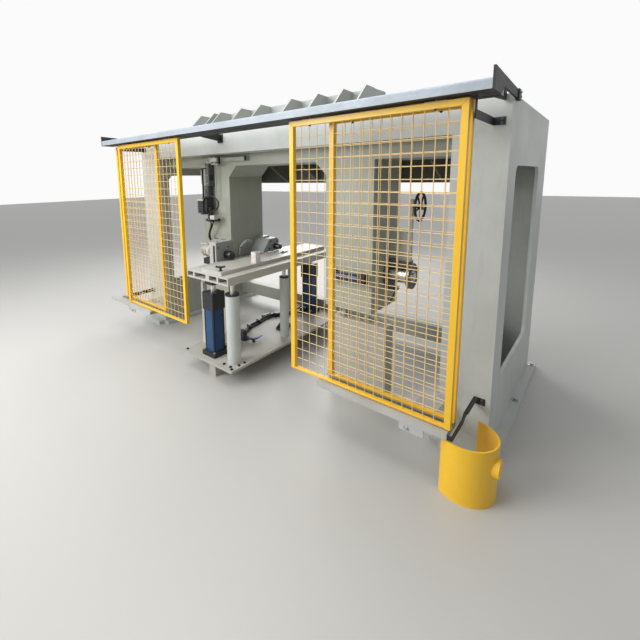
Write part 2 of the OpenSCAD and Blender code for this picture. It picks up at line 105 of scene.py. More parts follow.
class Axis(Enum):
    """The direction that a round piece points in."""

    X = (1.0, 0.0, 0.0)
    Z = (0.0, 0.0, 1.0)
    FRONT = (0.0, -1.0, 0.0)
    LEFT = (-1.0, 0.0, 0.0)
    DOWN = (0.0, 0.0, -1.0)


def at(point: Point) -> Vector:
    """Turns millimetres measured from the portal's front face into metres in the row's frame.

    Args:
        point: length along the stand, depth and height in millimetres.

    Returns:
        The point in metres.
    """
    return Vector((point[0] * MM, (point[1] + DEPTH_SHIFT) * MM, point[2] * MM))


def round_x(centre: Point, radius: float, count: int, first_deg: float) -> list[tuple[float, float, float]]:
    """Spreads points round a circle that faces along the stand.

    Args:
        centre: the circle's middle in millimetres.
        radius: its radius in millimetres.
        count: how many points there are.
        first_deg: where the first point lies, counted from the back upwards.

    Returns:
        The points in millimetres.
    """
    x, y, z = centre
    turns = [math.radians(first_deg + 360 / count * i) for i in range(count)]
    return [(x, y + radius * math.cos(t), z + radius * math.sin(t)) for t in turns]


def linear(hex_colour: str) -> Colour:
    """Turns an sRGB hex colour into linear light.

    Args:
        hex_colour: six hex digits with a leading hash.

    Returns:
        Linear red, green, blue and an alpha of 1.
    """
    parts = [int(hex_colour[i : i + 2], 16) / 255 for i in (1, 3, 5)]
    light = [c / 12.92 if c <= 0.04045 else ((c + 0.055) / 1.055) ** 2.4 for c in parts]
    return (light[0], light[1], light[2], 1.0)


def grey(value: float) -> Colour:
    """Gives a grey colour of one value."""
    return (value, value, value, 1.0)


def add(tree: bpy.types.NodeTree, kind: str, inputs: dict[Any, Any], **settings: Any) -> bpy.types.Node:
    """Adds one node to a tree, sets it up and links its inputs.

    Args:
        tree: the shader or geometry tree.
        kind: the node's type name.
        inputs: what its inputs get, by name or number: a value, a socket, a node that gives its first
            output, or a list of such nodes.
        settings: attributes of the node, or the stops of a colour ramp.

    Returns:
        The new node.
    """
    node = tree.nodes.new(kind)
    stops = settings.pop("stops", ())
    for element, (place, colour) in zip(node.color_ramp.elements if stops else (), stops):
        element.position = place
        element.color = colour
    for key, value in settings.items():
        setattr(node, key, value)
    for key, value in inputs.items():
        for source in value if isinstance(value, list) else [value]:
            if isinstance(source, bpy.types.Node):
                source = source.outputs[0]
            if isinstance(source, bpy.types.NodeSocket):
                tree.links.new(source, node.inputs[key])
            else:
                node.inputs[key].default_value = source
    return node


def open_material(name: str) -> tuple[bpy.types.Material, bpy.types.NodeTree]:
    """Starts a material with an empty tree.

    Args:
        name: the material's name.

    Returns:
        The material and its tree.
    """
    material = bpy.data.materials.new(name)
    material.use_nodes = True
    material.node_tree.nodes.clear()
    return material, material.node_tree


def close_material(tree: bpy.types.NodeTree, relief: dict[str, Any], skin: dict[str, Any]) -> None:
    """Ends a material's tree with its bump and its shader.

    Args:
        tree: the material's tree.
        relief: the bump's strength, distance in metres and height.
        skin: the shader's other inputs.
    """
    bump = add(tree, "ShaderNodeBump", relief)
    shader = add(tree, SHADER, {**skin, "Normal": bump})
    add(tree, "ShaderNodeOutputMaterial", {"Surface": shader})


@dataclass(frozen=True)
class PaintedSteel:
    """Sprayed enamel on welded plate: an even colour, faint orange peel and a little dust."""

    name: str
    colour: str
    shade: str
    slot: str
    roughness: float = 0.42
    grime: float = 0.25
    mottle_mm: float = 260.0
    peel: float = 0.12

    def build(self) -> bpy.types.Material:
        """Builds the material.

        Returns:
            The painted material.
        """
        material, tree = open_material(self.name)
        place = add(tree, PLACE, {}).outputs["Object"]
        cloud = {"Vector": place, "Scale": 1.0 / (self.mottle_mm * MM), "Detail": 5.0, "Roughness": 0.55}
        mottle = add(tree, NOISE, cloud)
        shade = add(tree, RAMP, {0: mottle}, stops=((0.3, linear(self.shade)), (0.7, linear(self.colour))))
        # Wiped dust runs down a wall, so this noise is stretched upright.
        upright = add(tree, MAPPING, {"Vector": place, "Scale": (7.0, 7.0, 1.1)})
        streak = add(tree, NOISE, {"Vector": upright, "Scale": 2.2, "Detail": 6.0, "Roughness": 0.7})
        dirt = add(tree, RAMP, {0: streak}, stops=((0.52, grey(0.0)), (0.78, grey(self.grime))))
        dusty = add(tree, "ShaderNodeMix", {0: dirt, 6: shade, 7: linear("#8c8a82")}, data_type="RGBA")
        rough = {0: mottle, 1: 0.3, 2: 0.7, 3: self.roughness - 0.06, 4: self.roughness + 0.08}
        gloss = add(tree, "ShaderNodeMapRange", rough)
        # Orange peel of about 2 mm, drawn a little coarser so that it shows.
        peel = add(tree, NOISE, {"Vector": place, "Scale": 320.0, "Detail": 2.0})
        relief = {"Strength": self.peel, "Distance": 0.0006, "Height": peel}
        close_material(tree, relief, {"Base Color": dusty.outputs[2], "Roughness": gloss, "IOR": 1.5})
        return material


@dataclass(frozen=True)
class RolledMetal:
    """Bare metal: zinc, ground or turned steel, with a fine grain and soft wear."""

    name: str
    colour: str
    shade: str
    slot: str
    roughness: float = 0.38
    grain: tuple[float, float, float] = (1.0, 1.0, 1.0)
    grain_per_m: float = 60.0
    metallic: float = 1.0
    bump: float = 0.08

    def build(self) -> bpy.types.Material:
        """Builds the material.

        Returns:
            The metal material.
        """
        material, tree = open_material(self.name)
        place = add(tree, PLACE, {}).outputs["Object"]
        along = add(tree, MAPPING, {"Vector": place, "Scale": self.grain})
        fine = {"Vector": along, "Scale": self.grain_per_m, "Detail": 6.0, "Roughness": 0.65}
        grain = add(tree, NOISE, fine)
        cloud = add(tree, NOISE, {"Vector": place, "Scale": 5.0, "Detail": 4.0})
        shade = add(tree, RAMP, {0: cloud}, stops=((0.32, linear(self.shade)), (0.68, linear(self.colour))))
        rough = {0: grain, 1: 0.3, 2: 0.7, 3: self.roughness - 0.1, 4: self.roughness + 0.12}
        gloss = add(tree, "ShaderNodeMapRange", rough)
        relief = {"Strength": self.bump, "Distance": 0.0008, "Height": grain}
        close_material(tree, relief, {"Base Color": shade, "Metallic": self.metallic, "Roughness": gloss})
        return material


@dataclass(frozen=True)
class MouldedPlastic:
    """Moulded knobs, hoses and housings: an even dark colour with a fine grain."""

    name: str
    colour: str
    slot: str
    roughness: float = 0.45
    coat: float = 0.0
    transmission: float = 0.0

    def build(self) -> bpy.types.Material:
        """Builds the material.

        Returns:
            The plastic material.
        """
        material, tree = open_material(self.name)
        place = add(tree, PLACE, {}).outputs["Object"]
        cloud = add(tree, NOISE, {"Vector": place, "Scale": 40.0, "Detail": 3.0})
        base = linear(self.colour)
        light = tuple(min(1.0, c * 1.35 + 0.003) for c in base[:3]) + (1.0,)
        skin = {
            "Base Color": add(tree, RAMP, {0: cloud}, stops=((0.35, base), (0.7, light))),
            "Roughness": self.roughness,
            "IOR": 1.49,
            "Coat Weight": self.coat,
            "Transmission Weight": self.transmission,
        }
        close_material(tree, {"Strength": 0.1, "Distance": 0.0004, "Height": cloud}, skin)
        return material


FRAME_PAINT = PaintedSteel("grey_frame_enamel", "#c6cac7", "#bbbfbc", "grey_paint")
INNER_PAINT = PaintedSteel("grey_inner_enamel", "#b3b6aa", "#a7a99f", "grey_paint")
COLUMN_PAINT = PaintedSteel("grey_column_enamel", "#a9ada2", "#9da197", "grey_paint")
# Painted shade: the rear beam's grey is darkened well below the frame's for the shade that its face lies in.
REAR_BEAM_SHADE_PAINT = PaintedSteel("rear_beam_painted_shade", "#74756b", "#696a61", "grey_paint")
RIB_PAINT = PaintedSteel("grey_rib_enamel", "#adb0ac", "#a1a4a0", "grey_paint")
HEAD_PAINT = PaintedSteel("grey_head_enamel", "#979b99", "#8b8f8d", "dark_grey_paint", 0.38)
DARK_PAINT = PaintedSteel("dark_machine_enamel", "#5c5d5d", "#525353", "dark_grey_paint")
MOTOR_PAINT = PaintedSteel("dark_motor_enamel", "#3d4045", "#34373b", "black_paint", 0.45)
LIGHT_PAINT = PaintedSteel("pale_machine_enamel", "#c6c6bf", "#bababa", "light_grey_paint", 0.38)
TABLE_PAINT = PaintedSteel("pale_table_enamel", "#c0beb7", "#b4b2ab", "light_grey_paint", 0.4, 0.15)
# Painted reflection and dust: the brownish grey stands in for the floor reflected in the base parts, and the
# grime streaks are dust.
FLOOR_PLATE = PaintedSteel("dusty_floor_reflection_enamel", "#b3b0a7", "#a5a299", "light_grey_paint", 0.5, 0.35)
BLACK_PAINT = PaintedSteel("black_bracket_enamel", "#1f2122", "#181a1b", "black_paint", 0.55, 0.08)
YELLOW_PAINT = PaintedSteel("guard_yellow_enamel", "#f5c432", "#efbb28", "yellow_paint", 0.35, 0.1)
# Painted glare: the yellow wires are lightened to cream for the glare of the bright room on them.
WIRE_PAINT = PaintedSteel("mesh_yellow_glare_cream", "#ecd09a", "#e2c488", "pale_yellow_paint", 0.4, 0.08)
BLUE_PAINT = PaintedSteel("cylinder_blue_enamel", "#164672", "#113a61", "blue_paint", 0.3, 0.1)
ZINC = RolledMetal("galvanised_rail", "#a3abb3", "#949ca4", "galvanised", 0.55, metallic=0.25)
RAIL = RolledMetal("dull_galvanised_rail", "#bcbbb7", "#acaba7", "galvanised", 0.6, metallic=0.1)
STEEL = RolledMetal("ground_steel", "#dcdcda", "#c8c8c6", "bright_steel", 0.25, (1.0, 1.0, 8.0))
TURNED = RolledMetal("turned_steel", "#e2e0dc", "#cfcdc9", "bright_steel", 0.28, (12.0, 1.0, 1.0))
BOLT_STEEL = RolledMetal("zinc_bolts", "#b9bbbd", "#9c9ea0", "bright_steel", 0.34)
HOSE = MouldedPlastic("black_hose_rubber", "#151617", "black_rubber", 0.5)
KNOB = MouldedPlastic("black_knob_plastic", "#141516", "black_paint", 0.35, coat=0.2)
TAP = MouldedPlastic("blue_tap_plastic", "#16418f", "blue_paint", 0.35)
CLEAR = MouldedPlastic("clear_block_acrylic", "#ddd7d2", "light_grey_paint", 0.15, transmission=0.2)

Finish = PaintedSteel | RolledMetal | MouldedPlastic


@dataclass
class MeshMaker:
    """Collects shapes into one mesh, in the row's frame."""

    mesh: bmesh.types.BMesh = field(default_factory=bmesh.new)

    def box(self, low: Point, high: Point, bevel: float = 0.0) -> None:
        """Adds a box with softened edges.

        Args:
            low: lowest corner in millimetres.
            high: highest corner in millimetres.
            bevel: edge radius in millimetres.
        """
        a, b = at(low), at(high)
        made = bmesh.ops.create_cube(self.mesh, size=1.0)["verts"]
        for vertex in made:
            vertex.co = Vector((a[i] + (b[i] - a[i]) * (vertex.co[i] + 0.5) for i in range(3)))
        if bevel:
            edges = list({e for v in made for e in v.link_edges})
            shape = {"offset": bevel * MM, "segments": 3, "profile": 0.5, "affect": "EDGES"}
            bmesh.ops.bevel(self.mesh, geom=edges, **shape)

    def turned(
        self,
        start: Point,
        axis: Axis,
        profile: Sequence[Pair],
        sides: int = 40,
        capped: bool = True,
    ) -> None:
        """Adds a turned piece from its profile.

        Args:
            start: the profile's origin in millimetres.
            axis: the direction that the profile's lengths run along.
            profile: pairs of distance along the axis and radius, in millimetres.
            sides: how many facets go round.
            capped: closes both ends, which a ring-shaped profile does without.
        """
        direction = Vector(axis.value)
        side = direction.orthogonal().normalized()
        other = direction.cross(side)
        rings: list[list[bmesh.types.BMVert]] = []
        for along, radius in profile:
            centre = at(start) + direction * along * MM
            turns = [2 * math.pi * i / sides for i in range(sides if radius else 1)]
            spokes = [side * math.cos(turn) + other * math.sin(turn) for turn in turns]
            rings.append([self.mesh.verts.new(centre + spoke * radius * MM) for spoke in spokes])
        for first, second in zip(rings, rings[1:]):
            self._bridge(first, second, sides)
        if capped and len(rings[0]) > 1:
            self.mesh.faces.new(reversed(rings[0]))
        if capped and len(rings[-1]) > 1:
            self.mesh.faces.new(rings[-1])

    def _bridge(self, first: list[bmesh.types.BMVert], second: list[bmesh.types.BMVert], sides: int) -> None:
        """Joins two rings, either of which may be one point.

        Args:
            first: the ring nearer the start.
            second: the next ring.
            sides: how many facets go round.
        """
        for i in range(sides):
            j = (i + 1) % sides
            if len(first) == 1:
                face = (first[0], second[j], second[i])
            elif len(second) == 1:
                face = (first[i], first[j], second[0])
            else:
                face = (first[i], first[j], second[j], second[i])
            self.mesh.faces.new(face)

    def rod(self, start: Point, end: Point, radius: float, sides: int = 20) -> None:
        """Adds a round rod between two points.

        Args:
            start: one end in millimetres.
            end: the other end in millimetres.
            radius: its radius in millimetres.
            sides: how many facets go round.
        """
        a, b = at(start), at(end)
        size = {"radius1": radius * MM, "radius2": radius * MM, "depth": (b - a).length}
        made = bmesh.ops.create_cone(self.mesh, cap_ends=True, segments=sides, **size)["verts"]
        turn = (b - a).to_track_quat("Z", "Y").to_matrix().to_4x4()
        bmesh.ops.transform(self.mesh, matrix=Matrix.Translation((a + b) / 2) @ turn, verts=made)

    def slab(self, outline: Sequence[Point], along: Point) -> None:
        """Adds a flat piece by pulling an outline along a direction.

        Args:
            outline: corner points in millimetres, in order.
            along: the pull in millimetres.
        """
        lower = [self.mesh.verts.new(at(p)) for p in outline]
        upper = [self.mesh.verts.new(v.co + Vector(along) * MM) for v in lower]
        self.mesh.faces.new(lower)
        self.mesh.faces.new(reversed(upper))
        for i in range(len(lower)):
            j = (i + 1) % len(lower)
            self.mesh.faces.new((lower[j], lower[i], upper[i], upper[j]))

    def plate(self, x: float, outline: Sequence[Pair], thick: float) -> None:
        """Adds a plate that stands across the stand.

        Args:
            x: where its outline lies along the stand, in millimetres.
            outline: its corners as depth and height in millimetres, in order.
            thick: how far it reaches along the stand in millimetres.
        """
        self.slab([(x, y, z) for y, z in outline], (thick, 0, 0))

    def done(self, name: str) -> bpy.types.Mesh:
        """Closes the mesh and shades its flat edges smooth.

        Args:
            name: the mesh's name.

        Returns:
            The finished mesh.
        """
        bmesh.ops.remove_doubles(self.mesh, verts=self.mesh.verts[:], dist=1e-7)
        bmesh.ops.recalc_face_normals(self.mesh, faces=self.mesh.faces[:])
        for edge in self.mesh.edges:
            edge.smooth = len(edge.link_faces) == 2 and edge.calc_face_angle(0.0) < SMOOTH_LIMIT
        for face in self.mesh.faces:
            face.smooth = True
        mesh = bpy.data.meshes.new(name)
        self.mesh.to_mesh(mesh)
        self.mesh.free()
        return mesh


class Pattern:
    """A geometry tree with named inputs, and the plain meshes made from it."""

    name: str
    inputs: dict[str, Any]

    def __init__(self) -> None:
        """Builds the tree and ends it with Realize Instances and Set Material."""
        self.tree = bpy.data.node_groups.new(self.name, "GeometryNodeTree")
        self.sockets: dict[str, str] = {}
        face = self.tree.interface
        for way in ("INPUT", "OUTPUT"):
            face.new_socket(name="Geometry", in_out=way, socket_type="NodeSocketGeometry")
        for label, value in {**self.inputs, "Material": None}.items():
            item = face.new_socket(name=label, in_out="INPUT", socket_type=SOCKETS[type(value)])
            if value is not None:
                item.default_value = value
            self.sockets[label] = item.identifier
        self.given = add(self.tree, "NodeGroupInput", {}).outputs
        solid = add(self.tree, "GeometryNodeRealizeInstances", {0: self.shape()})
        paint = {"Geometry": solid, "Material": self.given["Material"]}
        painted = add(self.tree, "GeometryNodeSetMaterial", paint)
        add(self.tree, "NodeGroupOutput", {0: painted})

    def shape(self) -> bpy.types.Node:
        """Builds the pattern's own nodes."""
        raise NotImplementedError

    def bake(self, name: str, base: bpy.types.ID | None, values: dict[str, Any]) -> bpy.types.Mesh:
        """Runs the tree on a base and returns the plain mesh.

        Args:
            name: the new mesh's name.
            base: a mesh or a curve that the tree starts from, or None.
            values: the inputs that differ from their defaults.

        Returns:
            The evaluated mesh.
        """
        carrier = bpy.data.objects.new(name + "_carrier", base or bpy.data.meshes.new(name + "_base"))
        bpy.context.scene.collection.objects.link(carrier)
        modifier = carrier.modifiers.new("pattern", "NODES")
        modifier.node_group = self.tree
        for label, value in values.items():
            modifier[self.sockets[label]] = value
        graph = bpy.context.evaluated_depsgraph_get()
        mesh = bpy.data.meshes.new_from_object(carrier.evaluated_get(graph), depsgraph=graph)
        mesh.name = name
        bpy.data.objects.remove(carrier)
        return mesh


class HexBolts(Pattern):
    """A washer, a hexagon head and a stud's end on every point, which carries an aim vector."""

    name = "hex_bolts"
    inputs = {
        "Head Radius": 0.009,
        "Head Height": 0.008,
        "Washer Radius": 0.013,
        "Washer Height": 0.0025,
        "Shank": 0.004,
    }
    stud_radius = 0.005

    def shape(self) -> bpy.types.Node:
        """Builds the bolts.

        Returns:
            The node with a bolt on every point.
        """
        tree, size = self.tree, self.given
        top = add(tree, MATH, {0: size["Head Height"], 1: size["Washer Height"]}, operation="ADD")
        stud = {"Vertices": 14, "Radius": self.stud_radius, "Depth": size["Shank"]}
        layers = []
        for sides, part, base in ((6, "Head", size["Washer Height"]), (20, "Washer", 0.0)):
            height = size[part + " Height"]
            disc = {"Vertices": sides, "Radius": size[part + " Radius"], "Depth": height}
            half = add(tree, MATH, {0: height, 1: 0.5}, operation="MULTIPLY")
            layers.append((disc, add(tree, MATH, {0: half, 1: base}, operation="ADD")))
        pieces = []
        for disc, middle in (*layers, (stud, top)):
            shift = {0: add(tree, CYLINDER, disc), "Translation": add(tree, XYZ, {2: middle})}
            pieces.append(add(tree, MOVE, shift))
        points = add(tree, "GeometryNodeMeshToPoints", {0: size["Geometry"]})
        aim = add(tree, "GeometryNodeInputNamedAttribute", {"Name": "aim"}, data_type="FLOAT_VECTOR")
        turn = add(tree, "FunctionNodeAlignRotationToVector", {"Vector": aim}, axis="Z")
        bolt = add(tree, JOIN, {0: pieces})
        return add(tree, COPIES, {"Points": points, "Instance": bolt, "Rotation": turn})


class WireMesh(Pattern):
    """A welded wire mesh from its lower left corner: upright wires in front, level wires behind."""

    name = "welded_wire_mesh"
    inputs = {
        "Width": 0.9,
        "Height": 1.5,
        "Columns": 16,
        "Rows": 23,
        "Column Step": 0.056,
        "Row Step": 0.0645,
        "First Column": 0.056,
        "First Row": 0.0645,
        "Wire Radius": 0.002,
        "Origin": (0.0, 0.0, 0.0),
    }
    # A welded wire sinks a little into the one that it crosses.
    lean = 0.9

    def shape(self) -> bpy.types.Node:
        """Builds both rows of wires.

        Returns:
            The node with all wires.
        """
        tree, size = self.tree, self.given
        rows = []
        for upright, labels in (
            (True, ("Height", "Columns", "Column Step", "First Column")),
            (False, ("Width", "Rows", "Row Step", "First Row")),
        ):
            length, count, pitch, edge = (size[label] for label in labels)
            middle = add(tree, MATH, {0: length, 1: 0.5}, operation="MULTIPLY")
            side = {0: size["Wire Radius"], 1: -self.lean if upright else self.lean}
            lean = add(tree, MATH, side, operation="MULTIPLY")
            corner = {0: edge, 1: lean, 2: middle} if upright else {0: middle, 1: lean, 2: edge}
            first = {0: add(tree, XYZ, corner), 1: size["Origin"]}
            start = add(tree, "ShaderNodeVectorMath", first, operation="ADD")
            step = add(tree, XYZ, {0 if upright else 2: pitch})
            spots = {"Count": count, "Start Location": start, "Offset": step}
            line = add(tree, LINE, spots, mode="OFFSET")
            wire = add(tree, CYLINDER, {"Vertices": 8, "Radius": size["Wire Radius"], "Depth": length})
            turn = (0.0, 0.0 if upright else math.pi / 2, 0.0)
            turned = add(tree, MOVE, {0: wire, "Rotation": turn})
            rows.append(add(tree, COPIES, {"Points": line, "Instance": turned}))
        return add(tree, JOIN, {0: rows})


class HoseRun(Pattern):
    """A round hose swept along its base curve."""

    name = "hose_run"
    inputs = {"Radius": 0.006, "Sides": 12}

    def shape(self) -> bpy.types.Node:
        """Builds the hose.

        Returns:
            The node with the smooth hose.
        """
        tree, size = self.tree, self.given
        ring = {"Resolution": size["Sides"], "Radius": size["Radius"]}
        circle = add(tree, "GeometryNodeCurvePrimitiveCircle", ring)
        sweep = {"Curve": size["Geometry"], "Profile Curve": circle, "Fill Caps": True}
        swept = add(tree, "GeometryNodeCurveToMesh", sweep)
        return add(tree, "GeometryNodeSetShadeSmooth", {0: swept})


class SlatRow(Pattern):
    """One flat slat repeated along a line, such as a motor's fins."""

    name = "slat_row"
    inputs = {"Count": 8, "First": (0.0, 0.0, 0.0), "Step": (0.0, 0.0, 0.01), "Slat": (0.1, 0.1, 0.002)}

    def shape(self) -> bpy.types.Node:
        """Builds the row.

        Returns:
            The node with all slats.
        """
        tree, size = self.tree, self.given
        spots = {"Count": size["Count"], "Start Location": size["First"], "Offset": size["Step"]}
        line = add(tree, LINE, spots, mode="OFFSET")
        slat = add(tree, "GeometryNodeMeshCube", {"Size": size["Slat"]})
        return add(tree, COPIES, {"Points": line, "Instance": slat})


def smooth_route(points: Sequence[Point], steps: int = 8) -> list[Vector]:
    """Rounds a route of points, as the CAD source does for its hoses.

    Args:
        points: the route in millimetres.
        steps: how many stretches lie between two points.

    Returns:
        Points of the smooth route.
    """
    knots = [Vector(p) for p in points]
    last = len(knots) - 1
    smooth = []
    for i in range(last):
        a, b = knots[max(i - 1, 0)], knots[i]
        c, d = knots[i + 1], knots[min(i + 2, last)]
        bend = 2 * a - 5 * b + 4 * c - d
        twist = 3 * b - a - 3 * c + d
        for t in (step / steps for step in range(steps)):
            smooth.append((2 * b + (c - a) * t + bend * t**2 + twist * t**3) / 2)
    return [*smooth, knots[last]]


@dataclass
class Workshop:
    """Builds each finish and pattern once, and puts pieces into the scene."""

    nodes: dict[str, bpy.types.Object]
    built: dict[str, bpy.types.Material] = field(default_factory=dict)
    hexagons: HexBolts = field(default_factory=HexBolts)
    mesh: WireMesh = field(default_factory=WireMesh)
    hose: HoseRun = field(default_factory=HoseRun)
    slats: SlatRow = field(default_factory=SlatRow)
    count: int = 0

    def material(self, finish: Finish) -> bpy.types.Material:
        """Builds a finish at its first use.

        Args:
            finish: the finish.

        Returns:
            Its material.
        """
        if finish.name not in self.built:
            self.built[finish.name] = finish.build()
        return self.built[finish.name]

    def dress(self, node: str, finish: Finish) -> None:
        """Gives a carried-over CAD node its material.

        Args:
            node: the node's name.
            finish: the finish.
        """
        piece = self.nodes[node]
        if not piece.material_slots:
            piece.data.materials.append(self.material(finish))
        for slot in piece.material_slots:
            slot.link = "OBJECT"
            slot.material = self.material(finish)

    def add_piece(self, name: str, mesh: bpy.types.Mesh, finish: Finish, body: Body) -> bpy.types.Object:
        """Puts a finished mesh into the scene on its body.

        Args:
            name: the piece's name.
            mesh: its mesh, placed in the row's frame.
            finish: its finish.
            body: the body that it rides on.

        Returns:
            The new object.
        """
        piece = bpy.data.objects.new(name, mesh)
        bpy.context.scene.collection.objects.link(piece)
        mesh.materials.clear()
        mesh.materials.append(self.material(finish))
        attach(piece, body.value)
        self.count += 1
        LOG.info("piece %s on %s, %d faces", name, body.value, len(mesh.polygons))
        return piece

    def put(self, name: str, maker: MeshMaker, finish: Finish, body: Body = Body.FRAME) -> bpy.types.Object:
        """Closes a shape and puts it into the scene.

        Args:
            name: the piece's name.
            maker: the shape.
            finish: its finish.
            body: the body that it rides on.

        Returns:
            The new object.
        """
        return self.add_piece(name, maker.done(name), finish, body)

    def bake(
        self,
        pattern: Pattern,
        name: str,
        base: bpy.types.ID | None,
        values: dict[str, Any],
        finish: Finish,
        body: Body = Body.FRAME,
    ) -> bpy.types.Object:
        """Makes a pattern's mesh and puts it into the scene.

        Args:
            pattern: the pattern.
            name: the piece's name.
            base: what the pattern starts from.
            values: the pattern's inputs.
            finish: the piece's finish.
            body: the body that it rides on.

        Returns:
            The new object.
        """
        mesh = pattern.bake(name, base, {**values, "Material": self.material(finish)})
        return self.add_piece(name, mesh, finish, body)

    def bolts(
        self,
        name: str,
        radius: float,
        places: dict[Axis, Sequence[Point]],
        finish: Finish = BOLT_STEEL,
        body: Body = Body.FRAME,
    ) -> None:
        """Adds one set of equal bolts.

        Args:
            name: the piece's name.
            radius: head radius in millimetres.
            places: where their washers sit, in millimetres, for each direction of their heads.
            finish: their finish.
            body: the body that they ride on.
        """
        spots = [(axis, point) for axis, points in places.items() for point in points]
        base = bpy.data.meshes.new(name + "_points")
        base.from_pydata([at(point) for _, point in spots], [], [])
        aims = base.attributes.new("aim", "FLOAT_VECTOR", "POINT")
        for aim, (axis, _) in zip(aims.data, spots):
            aim.vector = axis.value
        values = {
            "Head Radius": radius * MM,
            "Head Height": radius * 0.8 * MM,
            "Washer Radius": radius * 1.45 * MM,
            "Washer Height": radius * 0.22 * MM,
            "Shank": radius * 0.35 * MM,
        }
        self.bake(self.hexagons, name, base, values, finish, body)

    def hoses(self, name: str, routes: Sequence[Sequence[Point]], radius: float) -> bpy.types.Object:
        """Adds hoses or cables, each along its own points.

        Args:
            name: the piece's name.
            routes: the points of each hose in millimetres.
            radius: their radius in millimetres.

        Returns:
            The new object.
        """
        curve = bpy.data.curves.new(name + "_path", "CURVE")
        curve.dimensions = "3D"
        for route in routes:
            points = smooth_route(route)
            spline = curve.splines.new("POLY")
            spline.points.add(len(points) - 1)
            for knot, point in zip(spline.points, points):
                knot.co = (*at(point), 1.0)
        return self.bake(self.hose, name, curve, {"Radius": radius * MM, "Sides": 14}, HOSE)


class SubAssembly:
    """A group of pieces that paints its carried-over CAD nodes and adds its own meshes."""

    shop: Workshop
    finishes: dict[str, Finish] = {}

    def dress(self) -> None:
        """Gives the group's CAD nodes their finishes."""
        for node, finish in self.finishes.items():
            self.shop.dress(node, finish)


@dataclass
class PortalFrame(SubAssembly):
    """The welded portal: end frames, beams, roof ribs and the anchor bolts."""

    finishes = {
        "outer_side_plates": FRAME_PAINT,
        "front_columns": FRAME_PAINT,
        "front_beam": FRAME_PAINT,
        "roof_plate": FRAME_PAINT,
        "base_plates": FRAME_PAINT,
        "rear_columns": FRAME_PAINT,
        "roof_bridge": RIB_PAINT,
        "roof_ribs": RIB_PAINT,
        "inner_side_plates": INNER_PAINT,
        "lower_rear_beam": INNER_PAINT,
        "inner_columns": COLUMN_PAINT,
        "cross_bar": COLUMN_PAINT,
        # The rear beam's darker grey is painted shade.
        "rear_beam": REAR_BEAM_SHADE_PAINT,
        "column_pedestals": FLOOR_PLATE,
    }
    shop: Workshop
    anchor_x: float = 1778.0
    anchor_y: tuple[float, float, float] = (60.0, 715.0, 1370.0)
    plate_top: float = 40.0
    beam_y: float = 180.0
    beam_depth: float = 440.0
    beam_z: Pair = (1722.0, 1990.0)
    beam_end: float = 1480.0
    column_edge: float = 930.0
    middle_bay: float = 540.0
    corner: float = 100.0
    jack_x: Pair = (680.0, 860.0)
    jack_y: float = 245.0

    def inner_beam(self) -> None:
        """Replaces the beam over the bays with one whose side bays reach as high as the middle one."""
        bottom, top = self.beam_z
        half = (
            (0.0, bottom),
            (self.middle_bay - self.corner, bottom),
            (self.middle_bay, bottom - self.corner),
            (self.column_edge, bottom - self.corner),
            (self.column_edge, bottom),
            (self.beam_end, bottom),
            (self.beam_end, top),
        )
        whole = [*half, *((-x, z) for x, z in reversed(half[1:]))]
        maker = MeshMaker()
        maker.slab([(x, self.beam_y, z) for x, z in whole], (0.0, self.beam_depth, 0.0))
        beam = self.shop.put("inner_beam_plate", maker, COLUMN_PAINT)
        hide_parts("inner_beam")

    def jack_nuts(self) -> None:
        """Adds the hexagon nuts above and below each jack screw of the inner columns."""
        maker = MeshMaker()
        for x in (side * x for side in SIDES for x in self.jack_x):
            maker.turned((x, self.jack_y, 545.3), Axis.Z, ((0, 36), (2, 38), (20, 38), (22.2, 36)), 6)
            maker.turned((x, self.jack_y, 605.4), Axis.Z, ((0, 40), (2, 42), (12, 42), (14.2, 40)), 6)
        self.shop.put("jack_nuts", maker, BOLT_STEEL)

    def build(self) -> None:
        """Dresses the portal and bolts it down."""
        self.dress()
        self.inner_beam()
        anchors = [(side * self.anchor_x, y, self.plate_top) for side in SIDES for y in self.anchor_y]
        self.shop.bolts("anchor_bolts", 18.0, {Axis.Z: anchors})
        self.jack_nuts()


